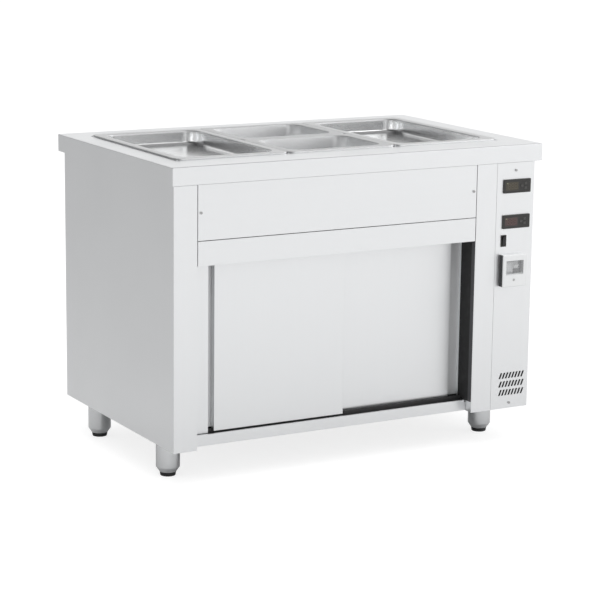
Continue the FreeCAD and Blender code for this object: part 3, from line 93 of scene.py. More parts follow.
class Shade:
    """A shader socket. Arithmetic on it adds Math nodes."""

    def __init__(self, tree, socket):
        self.tree = tree
        self.socket = socket

    def math(self, operation, *others, swapped=False, clamped=False):
        node = self.tree.nodes.new("ShaderNodeMath")
        node.operation = operation
        node.use_clamp = clamped
        parts = (*others, self) if swapped else (self, *others)
        for slot, part in zip(node.inputs, parts):
            plug(self.tree, slot, part)
        return Shade(self.tree, node.outputs[0])

    def __add__(self, other):
        return self.math("ADD", other)

    def __sub__(self, other):
        return self.math("SUBTRACT", other)

    def __rsub__(self, other):
        return self.math("SUBTRACT", other, swapped=True)

    def __mul__(self, other):
        return self.math("MULTIPLY", other)

    def above(self, limit):
        """1 where the value is above the limit, else 0."""
        return self.math("GREATER_THAN", limit)

    def spread(self, low, high):
        """The value's place between two limits, from 0 to 1."""
        return ((self - low) * (1 / (high - low))).math("ADD", 0, clamped=True)

    def swing(self, size):
        """How far the value is from its middle, 0.5, times a size."""
        return (self - 0.5) * size

    __radd__ = __add__
    __rmul__ = __mul__


def plug(tree, slot, part):
    """Link a shade to a slot, or set the slot to a plain value."""
    if isinstance(part, Shade):
        tree.links.new(part.socket, slot)
    else:
        slot.default_value = part


class Graph:
    """A material's or the world's node tree while it is drawn."""

    def __init__(self, owner):
        owner.use_nodes = True
        self.tree = owner.node_tree
        self.tree.nodes.clear()

    def node(self, kind, settings=None, sockets=None, out=0):
        """A node with its settings, then its sockets' values or links, and one of its outputs."""
        node = self.tree.nodes.new(kind)
        for name, value in (settings or {}).items():
            if name == "stops":
                ramp = node.color_ramp.elements
                while len(ramp) < len(value):
                    ramp.new(1)
                for stop, (place, tone) in zip(ramp, value):
                    stop.position = place
                    stop.color = tone
            else:
                setattr(node, name, value)
        for name, value in (sockets or {}).items():
            plug(self.tree, node.inputs[name], value)
        return Shade(self.tree, node.outputs[out]) if node.outputs else None

    def place(self, stretch=(1, 1, 1), turn=(0, 0, 0)):
        """Object coordinates, stretched and turned."""
        return self.node("ShaderNodeMapping", None,
                         {"Vector": self.node("ShaderNodeTexCoord", out="Object"), "Scale": stretch,
                          "Rotation": turn})

    def axes(self, vector):
        """A vector's three parts."""
        split = self.node("ShaderNodeSeparateXYZ", None, {"Vector": vector}).socket.node
        return [Shade(self.tree, output) for output in split.outputs]

    def noise(self, scale=1.0, detail=3.0, roughness=0.5, stretch=(1, 1, 1), turn=(0, 0, 0)):
        """Noise over the object, finer along the axes that are stretched."""
        return self.node("ShaderNodeTexNoise", None,
                         {"Vector": self.place(stretch, turn), "Scale": scale, "Detail": detail,
                          "Roughness": roughness})

    def blend(self, factor, first, second):
        """One colour turning into another."""
        return self.mix("RGBA", factor, zip(MIX_COLOURS, (first, second)), MIX_COLOUR_OUT)

    def choose(self, factor, first, second):
        """One number turning into another."""
        return self.mix("FLOAT", factor, zip(MIX_NUMBERS, (first, second)), 0)

    def mix(self, kind, factor, ends, out):
        return self.node("ShaderNodeMix", {"data_type": kind}, {MIX_FACTOR: factor, **dict(ends)}, out)

    def tint(self, factor, colour, low, high):
        """One colour, from its low share of brightness to its high one."""
        return self.blend(factor, shaded(colour, low), shaded(colour, high))

    def bump(self, height, strength, distance):
        return self.node("ShaderNodeBump", None, {"Height": height, "Strength": strength,
                                                  "Distance": distance})


def ray_kinds(graph):
    """Whether a ray comes from the camera, and whether it is a reflection."""
    rays = graph.node("ShaderNodeLightPath").socket.node
    return [Shade(graph.tree, rays.outputs[name]) for name in ("Is Camera Ray", "Is Glossy Ray")]


def shaded(colour, share=1.0):
    """A colour made lighter or darker, and opaque."""
    return (*(min(part * share, 1.0) for part in colour[:3]), 1.0)


def grey(level):
    return shaded((level, level, level))


def finish_material(name, **sockets):
    """A new material and its graph, which closes with a Principled shader of these sockets."""
    material = bpy.data.materials.new(name)
    graph = Graph(material)

    def close(**more):
        values = {key.replace("_", " "): value for key, value in {**sockets, **more}.items()}
        shader = graph.node("ShaderNodeBsdfPrincipled", None, values)
        graph.node("ShaderNodeOutputMaterial", None, {"Surface": shader})
        return material
    return graph, close


# Materials

def brushed_noise(graph, grain, sizes, detail):
    """Noise drawn out along the grain. A round grain runs along X, but along Y on faces that look to X."""
    across, along = sizes

    def drawn(way):
        stretch = tuple(along if axis == way else across for axis in "XYZ")
        return graph.noise(stretch=stretch, detail=detail)
    if grain != "round":
        return drawn(grain)
    facing = graph.axes(graph.node("ShaderNodeNewGeometry", out="Normal"))[0]
    return graph.choose(facing.math("ABSOLUTE").above(0.7), drawn("X"), drawn("Y"))


def brushed_steel(name, colour, roughness, grain, mark=1.0):
    """Brushed sheet: fine streaks along the grain, broad tone changes and faint smudges."""
    graph, close = finish_material(name, Metallic=1.0)
    streak = brushed_noise(graph, grain, STREAKS, 3)
    broad = brushed_noise(graph, grain, BROAD_TONES, 2)
    smudge = graph.noise(scale=5.5, detail=4, roughness=0.6).spread(0.42, 0.75)
    tone = streak.swing(0.10 * mark) + broad.swing(0.05 * mark) + 0.5
    rough = streak.swing(0.16 * mark) + smudge * (0.05 * mark) + roughness
    return close(Base_Color=graph.tint(tone, colour, 0.9, 1.1), Roughness=rough,
                 Normal=graph.bump(streak, 0.12 * mark, 0.00004))


def polished_steel(name, colour, roughness, rim_low, rim_high):
    """Pressed steel: satin, with drawing waves, scratches and dried drops, and a duller rim."""
    graph, close = finish_material(name, Metallic=1.0)
    rim = graph.axes(graph.place())[2].spread(rim_low, rim_high)
    wave = graph.noise(scale=9, detail=1)
    scratch = graph.noise(stretch=(900, 40, 200), turn=(0.3, 0.2, 0.7), detail=2)
    cross = graph.noise(stretch=(40, 900, 200), turn=(0.1, 0.4, -0.5), detail=2)
    drops = graph.node("ShaderNodeTexVoronoi", {"feature": "DISTANCE_TO_EDGE"},
                       {"Vector": graph.place(), "Scale": 60.0})
    stain = (graph.noise(scale=11, detail=5, roughness=0.65).spread(0.52, 0.8)
             * (1 - drops.spread(0.0, 0.3)))
    base = graph.tint(stain * 0.5 + scratch.swing(0.2), colour, 1, 0.86)
    rough = roughness + scratch.swing(0.06) + cross.swing(0.04) + stain * 0.08 + rim * 0.32
    return close(Base_Color=base, Roughness=rough,
                 Normal=graph.bump(wave * 7 + scratch * 0.02 + cross * 0.02, 0.25, 0.0006))


def mill_steel(name, colour, roughness, metallic=1.0):
    """Plain sheet for inside: soft clouds and a light rolled grain."""
    graph, close = finish_material(name, Metallic=metallic)
    cloud = graph.noise(scale=7, detail=4, roughness=0.6)
    rolled = graph.noise(stretch=(12, 500, 500), detail=2)
    return close(Base_Color=graph.tint(cloud, colour, 0.88, 1.06),
                 Roughness=roughness + cloud.swing(0.14) + rolled.swing(0.08),
                 Normal=graph.bump(rolled, 0.1, 0.00005))


def moulded_plastic(name, colour, roughness, depth=0.00003, coat=0.0):
    """Moulded plastic with a fine spark-eroded grain and slight handling wear."""
    graph, close = finish_material(name, Coat_Weight=coat, Coat_Roughness=0.08)
    speck = graph.noise(scale=900, detail=2)
    wear = graph.noise(scale=38, detail=5, roughness=0.62)
    return close(Base_Color=graph.tint(wear.spread(0.35, 0.8), colour, 1, 1.18),
                 Roughness=roughness + wear.swing(0.12) + speck.swing(0.1),
                 Normal=graph.bump(speck, 0.35, depth))


def rubber(name, colour, edge_y=None, edge_colour=None, left_colour=None):
    """Rubber with a little dust.

    On the seals, what lies in front of a given depth and the whole left seal have lighter colours of their
    own: painted light.
    """
    graph, close = finish_material(name)
    dust = graph.noise(scale=55, detail=6, roughness=0.7).spread(0.5, 0.85)
    speck = graph.noise(scale=650, detail=3)
    base = graph.tint(dust * 0.5, colour, 1, 5)
    if edge_colour:
        # Painted light: a lighter strip at the seals' front and a lighter left seal
        x, y = graph.axes(graph.place())[:2]
        base = graph.blend(1 - y.above(edge_y), base, shaded(edge_colour))
        base = graph.blend(x.above(0.0), shaded(left_colour), base)
    return close(Base_Color=base, Roughness=0.72 + dust * 0.18, Normal=graph.bump(speck, 0.5, 0.00006))


def cast_brass(name, colour):
    """Cast brass, dull in patches."""
    graph, close = finish_material(name, Metallic=1.0)
    dull = graph.noise(scale=45, detail=5, roughness=0.65)
    speck = graph.noise(scale=420, detail=3)
    return close(Base_Color=graph.tint(dull.spread(0.35, 0.75), colour, 1, 0.6),
                 Roughness=0.28 + dull * 0.28, Normal=graph.bump(speck, 0.3, 0.0001))


def heater_sheath(name, colour):
    """A heating rod's sheath, tinted in bands by the heat."""
    graph, close = finish_material(name, Metallic=1.0)
    band = graph.noise(scale=16, detail=4, roughness=0.6)
    straw, blue = (0.42, 0.33, 0.22), (0.2, 0.2, 0.26)
    tint = graph.node("ShaderNodeValToRGB",
                      {"stops": [(0.3, shaded(colour, 1.5)), (0.48, shaded(straw)), (0.58, shaded(blue)),
                                 (0.72, shaded(colour))]}, {"Fac": band})
    return close(Base_Color=tint, Roughness=0.3 + band * 0.3)


def painted_metal(name, colour):
    """Sprayed paint with a slight orange peel and dust."""
    graph, close = finish_material(name, Coat_Weight=0.2, Coat_Roughness=0.2)
    peel = graph.noise(scale=260, detail=2)
    dust = graph.noise(scale=30, detail=5, roughness=0.6).spread(0.5, 0.9)
    return close(Base_Color=graph.tint(dust, colour, 1, 1.4), Roughness=0.42 + dust * 0.2,
                 Normal=graph.bump(peel, 0.3, 0.00008))


def surface_box_with_painted_shade(name, colour, side_colour, hinge_x, plate_y):
    """The surface box: pale, with a dark strip of painted shade down its left side behind the front plate.
    """
    graph, close = finish_material(name)
    x, y = graph.axes(graph.place())[:2]
    # Painted shade: the mask of the dark strip down the box's left side
    case = y.above(plate_y) * (1 - x.above(hinge_x))
    wear = graph.noise(scale=70, detail=5, roughness=0.6)
    speck = graph.noise(scale=900, detail=2)
    base = graph.blend(case, graph.tint(wear, colour, 0.95, 1.04), graph.tint(wear, side_colour, 1, 1.25))
    return close(Base_Color=base, Roughness=0.38 + wear.swing(0.14) + case * 0.15,
                 Normal=graph.bump(speck, 0.3, 0.00003))


def smoked_window(name, colour):
    """Clear plastic, a little smoked and smeared."""
    graph, close = finish_material(name, IOR=1.5, Coat_Weight=0.6, Coat_Roughness=0.05)
    smear = graph.noise(scale=60, detail=4, roughness=0.6, stretch=(1, 1, 3))
    return close(Base_Color=graph.tint(smear, colour, 0.9, 1.1),
                 Roughness=0.08 + smear.spread(0.45, 0.8) * 0.12, Alpha=0.16 + smear * 0.1)


def lit_mark(name, colour, glow):
    """A display segment or a lamp behind its lens, with its own faint light."""
    graph, close = finish_material(name, Emission_Strength=glow)
    speck = graph.noise(scale=1500, detail=2)
    base = graph.tint(speck, colour, 0.85, 1)
    return close(Base_Color=base, Roughness=0.3 + speck * 0.1, Emission_Color=base)


# Finishes that no setting changes: the function that makes each one, and its details
STOCK = {
    "inner_sheet": (mill_steel, {"colour": (0.82, 0.83, 0.84), "roughness": 0.5, "metallic": 0.55}),
    "screw_steel": (mill_steel, {"colour": (0.5, 0.5, 0.5), "roughness": 0.3}),
    "fan_aluminium": (mill_steel, {"colour": (0.74, 0.74, 0.74), "roughness": 0.42}),
    "turned_steel": (brushed_steel, {"colour": (0.72, 0.73, 0.74), "roughness": 0.17, "grain": "Z",
                                     "mark": 0.6}),
    "heater_sheath": (heater_sheath, {"colour": (0.3, 0.29, 0.28)}),
    "drain_brass": (cast_brass, {"colour": (0.66, 0.52, 0.28)}),
    "motor_paint": (painted_metal, {"colour": (0.06, 0.065, 0.07)}),
    "guide_plastic": (moulded_plastic, {"colour": (0.02, 0.02, 0.021), "roughness": 0.5}),
    "key_plastic": (moulded_plastic, {"colour": (0.05, 0.049, 0.047), "roughness": 0.5}),
    "key_mark": (lit_mark, {"colour": (0.1, 0.098, 0.09), "glow": 0.0}),
    "lamp_mark": (lit_mark, {"colour": (0.2, 0.21, 0.13), "glow": 0.1}),
    "rocker_plastic": (moulded_plastic, {"colour": (0.012, 0.012, 0.013), "roughness": 0.3}),
    "smoked_window": (smoked_window, {"colour": (0.62, 0.63, 0.64)}),
    "breaker_plastic": (moulded_plastic, {"colour": (0.62, 0.625, 0.63), "roughness": 0.45}),
    "toggle_plastic": (moulded_plastic, {"colour": (0.75, 0.755, 0.75), "roughness": 0.35}),
    "switchgear_plastic": (moulded_plastic, {"colour": (0.5, 0.51, 0.51), "roughness": 0.48}),
    "label_card": (moulded_plastic, {"colour": (0.72, 0.73, 0.74), "roughness": 0.6}),
    # Painted shade: the dark layer round the breaker's toggle
    "recess_plastic": (moulded_plastic, {"colour": (0.05, 0.05, 0.052), "roughness": 0.5}),
    "gland_plastic": (moulded_plastic, {"colour": (0.03, 0.03, 0.031), "roughness": 0.46}),
    "pad_rubber": (rubber, {"colour": (0.02, 0.02, 0.021)}),
}


def library(name, maker=None, **details):
    """A material by name, made the first time that it is asked for. The CAD's materials have other names."""
    if maker is None:
        maker, details = STOCK[name]
    name = "finish_" + name
    return bpy.data.materials.get(name) or maker(name, **details)


# Mesh helpers

def merged(node):
    """A CAD node's mesh with its triangles joined and its flat faces made whole."""
    bm = bmesh.new()
    bm.from_mesh(frame["nodes"][node].data)
    bmesh.ops.remove_doubles(bm, verts=bm.verts, dist=MERGE)
    bmesh.ops.dissolve_limit(bm, angle_limit=FLAT_ANGLE, verts=bm.verts, edges=bm.edges)
    return bm


def round_edges(bm, width, segments=2, test=None):
    """Bevel the sharp edges, or those of them that pass a test."""
    edges = [edge for edge in bm.edges
             if len(edge.link_faces) == 2 and edge.calc_face_angle() > BEVEL_ANGLE
             and (test is None or test(edge))]
    bmesh.ops.bevel(bm, geom=edges, offset=width, offset_type="OFFSET", segments=segments, profile=0.5,
                    affect="EDGES", clamp_overlap=True, material=-1)


def slab(bm, low, high):
    """A box between two corners."""
    made = bmesh.ops.create_cube(bm, size=1)["verts"]
    low, high = Vector(low), Vector(high)
    bmesh.ops.scale(bm, vec=high - low, verts=made)
    bmesh.ops.translate(bm, vec=(low + high) / 2, verts=made)


def disc(bm, centre, radius, thickness, sides):
    """A disc or, with few sides, a prism, facing the doors' way."""
    made = bmesh.ops.create_cone(bm, cap_ends=True, segments=sides, radius1=radius, radius2=radius,
                                 depth=thickness)["verts"]
    bmesh.ops.rotate(bm, cent=(0, 0, 0), matrix=Matrix.Rotation(math.pi / 2, 3, "X"), verts=made)
    bmesh.ops.translate(bm, vec=centre, verts=made)


def piece(name, bm, material, body, slot, replaced=()):
    """A finished piece from a bmesh: shaded smooth but for its sharp edges, riding on its body."""
    for face in bm.faces:
        face.smooth = True
    for edge in bm.edges:
        edge.smooth = len(edge.link_faces) == 2 and edge.calc_face_angle() < SHARP_ANGLE
    mesh = bpy.data.meshes.new(name)
    bm.to_mesh(mesh)
    bm.free()
    mesh.materials.append(material)
    made = bpy.data.objects.new(name, mesh)
    bpy.context.scene.collection.objects.link(made)
    modifier = made.modifiers.new("weighted", "WEIGHTED_NORMAL")
    modifier.mode = "FACE_AREA"
    modifier.keep_sharp = True
    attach(made, body)
    if replaced:
        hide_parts(*replaced)


def dress(node, suffix, material, rounding=0.0, segments=2):
    """A CAD node's own shape with its edges rounded and its curves shaded smooth."""
    bm = merged(node)
    if rounding:
        round_edges(bm, rounding, segments)
    piece(node + "_" + suffix, bm, material, BODIES[node], SLOTS[node], (node,))


# Sizes and colours that a user would change

class SteelSettings(bpy.types.PropertyGroup):
    sheet_colour: bpy.props.FloatVectorProperty(
        name="Sheet colour", description="Colour of the brushed stainless sheet", subtype="COLOR", size=3,
        min=0, max=1, default=(0.85, 0.86, 0.87))
    sheet_roughness: bpy.props.FloatProperty(
        name="Sheet roughness", description="How dull the brushed sheet is", min=0, max=1, default=0.34,
        subtype="FACTOR")
    pan_colour: bpy.props.FloatVectorProperty(
        name="Pan colour", description="Colour of the pressed pans", subtype="COLOR", size=3, min=0, max=1,
        default=(0.88, 0.885, 0.89))
    pan_roughness: bpy.props.FloatProperty(
        name="Pan roughness", description="How dull the pans are", min=0, max=1, default=0.2,
        subtype="FACTOR")
    edge_round: bpy.props.FloatProperty(
        name="Edge round", description="Radius along the folded sheet's edges", default=0.0005,
        unit="LENGTH", subtype="DISTANCE")


class ControlSettings(bpy.types.PropertyGroup):
    plastic_colour: bpy.props.FloatVectorProperty(
        name="Control plastic", description="Colour of the controllers and the rocker's frame",
        subtype="COLOR", size=3, min=0, max=1, default=(0.022, 0.021, 0.02))
    box_colour: bpy.props.FloatVectorProperty(
        name="Box", description="Colour of the surface box", subtype="COLOR", size=3, min=0, max=1,
        default=(0.76, 0.77, 0.775))
    # Painted shade: the dark colour of the strip down the surface box's left side
    box_painted_shade_colour: bpy.props.FloatVectorProperty(
        name="Box painted shade", description="Colour of the strip down the surface box's left side",
        subtype="COLOR", size=3, min=0, max=1, default=(0.03, 0.031, 0.033))
    digit_height: bpy.props.FloatProperty(
        name="Digit height", description="Height of the controllers' digits", default=0.0135,
        unit="LENGTH", subtype="DISTANCE")


class StageSettings(bpy.types.PropertyGroup):
    camera_place: bpy.props.FloatVectorProperty(
        name="Camera place", description="Where the camera stands", subtype="TRANSLATION", size=3,
        unit="LENGTH", default=(-2.8388, -5.0322, 1.5893))
    camera_yaw: bpy.props.FloatProperty(
        name="Camera yaw", description="Turn of the view from +Y to +X", subtype="ANGLE",
        default=math.radians(29.471))
    camera_pitch: bpy.props.FloatProperty(
        name="Camera pitch", description="How far the view looks down", subtype="ANGLE",
        default=math.radians(11.779))
    camera_roll: bpy.props.FloatProperty(
        name="Camera roll", description="Lean of the view", subtype="ANGLE",
        default=math.radians(0.684))
    camera_lens: bpy.props.FloatProperty(
        name="Lens", description="Focal length on a 36 mm sensor, in millimetres", default=127.33)


def steel():
    return bpy.context.scene.bain_marie_steel


def controls():
    return bpy.context.scene.bain_marie_controls


def sheet_steel(grain):
    return library("brushed_sheet_" + grain.lower(), brushed_steel, colour=steel().sheet_colour,
                   roughness=steel().sheet_roughness, grain=grain)


def control_plastic():
    return library("control_plastic", moulded_plastic, colour=controls().plastic_colour, roughness=0.42)


# Operators

class SheetMetal(bpy.types.Operator):
    """Round and brush the outer sheet metal"""
    bl_idname = "bain_marie.sheet_metal"
    bl_label = "Sheet metal"

    # The way that each sheet's brushing runs
    GRAINS = {"worktop": "round", "apron_panel": "X", "header_rail": "X", "bottom_rail": "X",
              "side_panel_left": "Z", "side_panel_right": "Z", "front_post_left": "Z",
              "front_post_right": "Z", "column_panel": "Z", "back_panel": "Z"}
    # The right seal's colour, how deep its lighter front part of painted light is and that part's colour,
    # and the left seal's lighter colour, also painted light
    SEAL_COLOUR = (0.018, 0.018, 0.019)
    SEAL_PAINTED_LIGHT_DEPTH = 0.016
    SEAL_PAINTED_LIGHT_COLOUR = (0.075, 0.075, 0.08)
    LEFT_SEAL_PAINTED_LIGHT_COLOUR = (0.3, 0.3, 0.31)

    def execute(self, context):
        width = steel().edge_round
        for node, grain in self.GRAINS.items():
            dress(node, "sheet", sheet_steel(grain), width)
        dress("base_panel", "sheet", library("inner_sheet"), width)
        dress("panel_screws", "heads", library("screw_steel"), FINE_EDGE)
        # Black rubber seals, with painted light on their front strip and over the whole left seal
        seal_rubber = library("seal_rubber", rubber, colour=self.SEAL_COLOUR,
                              edge_y=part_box("jamb_seals")[0].y + self.SEAL_PAINTED_LIGHT_DEPTH,
                              edge_colour=self.SEAL_PAINTED_LIGHT_COLOUR, left_colour=self.LEFT_SEAL_PAINTED_LIGHT_COLOUR)
        dress("jamb_seals", "strips", seal_rubber, EASED_EDGE)
        return {"FINISHED"}


class Pans(bpy.types.Operator):
    """Polish the gastronorm pans and their divider bars"""
    bl_idname = "bain_marie.pans"
    bl_label = "Pans"

    # The rolled lip round a rim: its height, the radius on it, and what counts as upright and as level
    LIP_HEIGHT = 0.0045
    LIP_RADIUS = 0.0026
    LIP_SEGMENTS = 4
    UPRIGHT = 0.1
    LEVEL = 0.0001
    # The rim's satin band, from and to these depths below its top
    BAND_DEPTHS = (0.006, 0.001)
    # A pan deeper than this has a lighter colour and a duller face
    DEEP = 0.08
    DEEP_LIGHTER = 1.1
    DEEP_DULLER = 0.14

    def execute(self, context):
        for node in ("pan_left", "pan_middle_front", "pan_middle_rear", "pan_right"):
            bm = merged(node)
            round_edges(bm, self.LIP_RADIUS, self.LIP_SEGMENTS, self.lip_test(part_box(node)[1].z))
            piece(node + "_pressed", bm, self.pan_steel(node), BODIES[node], SLOTS[node], (node,))
        for node in ("divider_bar_left", "divider_bar_right", "divider_bar_cross"):
            dress(node, "folded", sheet_steel("Y"), EASED_EDGE)
        return {"FINISHED"}

    def lip_test(self, top):
        """A test of edges: whether one borders the lip below this height, with its first end not higher."""
        def on_lip(face):
            return (abs(face.normal.z) < self.UPRIGHT
                    and top - self.LIP_HEIGHT < face.calc_center_median().z < top)

        def borders_lip(edge):
            first, last = edge.verts
            return any(on_lip(face) for face in edge.link_faces) and first.co.z - last.co.z < self.LEVEL
        return borders_lip

    def pan_steel(self, node):
        """The shallow pans are the brighter ones; the two deep ones are duller, with a paler finish."""
        low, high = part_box(node)
        rim_low, rim_high = (high.z - depth for depth in self.BAND_DEPTHS)
        name, colour, roughness = "pan_steel", steel().pan_colour, steel().pan_roughness
        if high.z - low.z > self.DEEP:
            name = "deep_pan_steel"
            colour = shaded(colour, self.DEEP_LIGHTER)
            roughness += self.DEEP_DULLER
        return library(name, polished_steel, colour=colour, roughness=roughness, rim_low=rim_low,
                       rim_high=rim_high)


class Well(bpy.types.Operator):
    """Finish the water well, its heating element and its drain"""
    bl_idname = "bain_marie.well"
    bl_label = "Water well"

    # How far down the tank's duller rim reaches, and the tank's colour and roughness
    TANK_BAND = 0.03
    TANK_COLOUR = (0.76, 0.76, 0.76)
    TANK_ROUGHNESS = 0.22

    def execute(self, context):
        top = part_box("well_tank")[1].z
        tank_steel = library("tank_steel", polished_steel, colour=self.TANK_COLOUR,
                             roughness=self.TANK_ROUGHNESS, rim_low=top - self.TANK_BAND, rim_high=top)
        dress("well_tank", "pressed", tank_steel)
        dress("heating_element", "rods", library("heater_sheath"))
        for node in ("drain_pipe", "drain_valve", "drain_lever"):
            dress(node, "cast", library("drain_brass"), EASED_EDGE)
        return {"FINISHED"}


class Doors(bpy.types.Operator):
    """Finish the sliding doors, their track and their guide"""
    bl_idname = "bain_marie.doors"
    bl_label = "Doors"

    def execute(self, context):
        for node in ("door_left", "door_right"):
            dress(node, "sheet", sheet_steel("Z"), steel().edge_round)
        dress("door_track", "channel", library("inner_sheet"), MOULDED_EDGE)
        dress("bottom_guide", "strip", library("guide_plastic"), EASED_EDGE)
        return {"FINISHED"}


class CupboardInside(bpy.types.Operator):
    """Finish the cupboard's liners, shelf and fan unit"""
    bl_idname = "bain_marie.cupboard_inside"
    bl_label = "Inside of the cupboard"

    def execute(self, context):
        for node in ("liner_left", "liner_right", "liner_back", "liner_ceiling", "shelf", "shelf_rails",
                     "fan_cover"):
            dress(node, "lining", library("inner_sheet"), EASED_EDGE)
        dress("air_heater", "ring", library("heater_sheath"))
        dress("fan_impeller", "wheel", library("fan_aluminium"), FINE_EDGE)
        dress("fan_motor", "case", library("motor_paint"), MOTOR_EDGE)
        return {"FINISHED"}


class Controllers(bpy.types.Operator):
    """Build the two digital controllers with their lenses, digits and keys"""
    bl_idname = "bain_marie.controllers"
    bl_label = "Controllers"

    # Each controller's lens and digits
    TINTS = {"well": ((0.04, 0.033, 0.02), (0.062, 0.05, 0.03)),
             "cupboard": ((0.044, 0.022, 0.02), (0.068, 0.032, 0.028))}

    # The lens: its sides from the case's left, its ends from the case's ends, and its place from the face
    LENS_LEFT = 0.006
    LENS_RIGHT = 0.0475
    LENS_MARGIN = 0.0075
    LENS_PROUD = 0.0004
    LENS_SUNK = 0.0006
    LENS_CORNER = 0.0008
    LENS_SEGMENTS = 3

    # The lamp: its sides from the case's left, its ends from the case's top, and its front and back
    LAMP_LEFT = 0.0085
    LAMP_RIGHT = 0.0135
    LAMP_TOP = 0.0093
    LAMP_BOTTOM = 0.0115
    LAMP_PROUD = 0.0006
    LAMP_BACK = 0.0002
    LAMP_EDGE = 0.00015

    # The bars of a seven-bar digit: the bar's middle as shares of the digit's width and height, and its way
    BARS = (((0.5, 1.0), "across"), ((0.5, 0.5), "across"), ((0.5, 0.0), "across"),
            ((0.0, 0.75), "upright"), ((1.0, 0.75), "upright"), ((0.0, 0.25), "upright"),
            ((1.0, 0.25), "upright"))
    DIGITS = 3
    DIGITS_LEFT = 0.0135
    DIGITS_PROUD = 0.00055
    DIGITS_BACK = 0.00035
    # Shares of a digit's height: its width, a bar's thickness, and half an upright bar
    DIGIT_WIDTH = 0.52
    BAR_THICKNESS = 0.13
    HALF_UPRIGHT = 0.2
    # Shares of a digit's width: half a bar across, the step to the next digit, and the point after it
    HALF_ACROSS = 0.4
    DIGIT_STEP = 1.55
    POINT_PLACE = 1.28
    # The point's radius as a share of a bar's thickness, and its own thickness and sides
    POINT_RADIUS = 0.55
    POINT_THICKNESS = 0.0002
    POINT_SIDES = 12

    # The signs on the keys: a ring with its hollow, or a triangle
    RING_RADIUS = 0.0014
    RING_SIDES = 24
    RING_WIDTH = 0.0005
    RING_HOLLOW = 0.00015
    TRIANGLE_RADIUS = 0.0017
    SIGN_THICKNESS = 0.0002

    def execute(self, context):
        for prefix, (lens_tint, digit_tint) in self.TINTS.items():
            node = prefix + "_controller"
            dress(node, "case", control_plastic(), EASED_EDGE)
            low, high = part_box(node)
            self.lens(prefix, low, high, lens_tint)
            self.lamp(prefix, low, high)
            self.digits(prefix, low, high, digit_tint)
            for key in ("set", "up", "down"):
                name = prefix + "_key_" + key
                dress(name, "cap", library("key_plastic"))
                self.sign(name, key)
        return {"FINISHED"}

    def lens(self, prefix, low, high, tint):
        """The tinted window that the digits show through."""
        bm = bmesh.new()
        slab(bm, (low.x + self.LENS_LEFT, low.y - self.LENS_PROUD, low.z + self.LENS_MARGIN),
             (low.x + self.LENS_RIGHT, low.y + self.LENS_SUNK, high.z - self.LENS_MARGIN))
        through = (self.LENS_PROUD + self.LENS_SUNK) / 2
        round_edges(bm, self.LENS_CORNER, self.LENS_SEGMENTS,
                    lambda edge: abs(edge.verts[0].co.y - edge.verts[1].co.y) > through)
        round_edges(bm, FINE_EDGE)
        lens = library(prefix + "_lens", moulded_plastic, colour=tint, roughness=0.12, coat=0.6,
                       depth=0.000005)
        piece(prefix + "_lens", bm, lens, "cabinet", "black_plastic")

    def lamp(self, prefix, low, high):
        """The small lamp at the lens's upper left."""
        bm = bmesh.new()
        slab(bm, (low.x + self.LAMP_LEFT, low.y - self.LAMP_PROUD, high.z - self.LAMP_BOTTOM),
             (low.x + self.LAMP_RIGHT, low.y - self.LAMP_BACK, high.z - self.LAMP_TOP))
        round_edges(bm, self.LAMP_EDGE)
        piece(prefix + "_lamp", bm, library("lamp_mark"), "cabinet", "black_plastic")

    def digits(self, prefix, low, high, tint):
        """Dim seven-bar digits on the lens, each with its point."""
        tall = controls().digit_height
        wide, bar = tall * self.DIGIT_WIDTH, tall * self.BAR_THICKNESS
        bottom = (low.z + high.z) / 2 - tall / 2
        halves = {"across": (wide * self.HALF_ACROSS, bar / 2),
                  "upright": (bar / 2, tall * self.HALF_UPRIGHT)}
        front, back = low.y - self.DIGITS_PROUD, low.y - self.DIGITS_BACK
        bm = bmesh.new()
        for index in range(self.DIGITS):
            left = low.x + self.DIGITS_LEFT + index * wide * self.DIGIT_STEP
            for (u, v), way in self.BARS:
                x, z = left + u * wide, bottom + v * tall
                half_x, half_z = halves[way]
                slab(bm, (x - half_x, front, z - half_z), (x + half_x, back, z + half_z))
            disc(bm, (left + wide * self.POINT_PLACE, (front + back) / 2, bottom), bar * self.POINT_RADIUS,
                 self.POINT_THICKNESS, self.POINT_SIDES)
        digit = library(prefix + "_digit", lit_mark, colour=tint, glow=0.15)
        piece(prefix + "_digits", bm, digit, "cabinet", "black_plastic")

    def sign(self, name, key):
        """A raised sign on a key: a triangle up or down, or a ring."""
        low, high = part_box(name)
        place = ((low.x + high.x) / 2, low.y, (low.z + high.z) / 2)
        bm = bmesh.new()
        if key == "set":
            disc(bm, place, self.RING_RADIUS, self.SIGN_THICKNESS, self.RING_SIDES)
            front = [face for face in bm.faces if face.normal.y < -0.5]
            bmesh.ops.inset_region(bm, faces=front, thickness=self.RING_WIDTH, use_even_offset=True)
            bmesh.ops.translate(bm, vec=(0, self.RING_HOLLOW, 0),
                                verts=list({vert for face in front for vert in face.verts}))
        else:
            disc(bm, (0, 0, 0), self.TRIANGLE_RADIUS, self.SIGN_THICKNESS, 3)
            turn = 0 if key == "up" else math.pi
            bmesh.ops.rotate(bm, cent=(0, 0, 0), matrix=Matrix.Rotation(turn, 3, "Y"), verts=bm.verts)
            bmesh.ops.translate(bm, vec=place, verts=bm.verts)
        piece(name + "_sign", bm, library("key_mark"), BODIES[name], SLOTS[name])


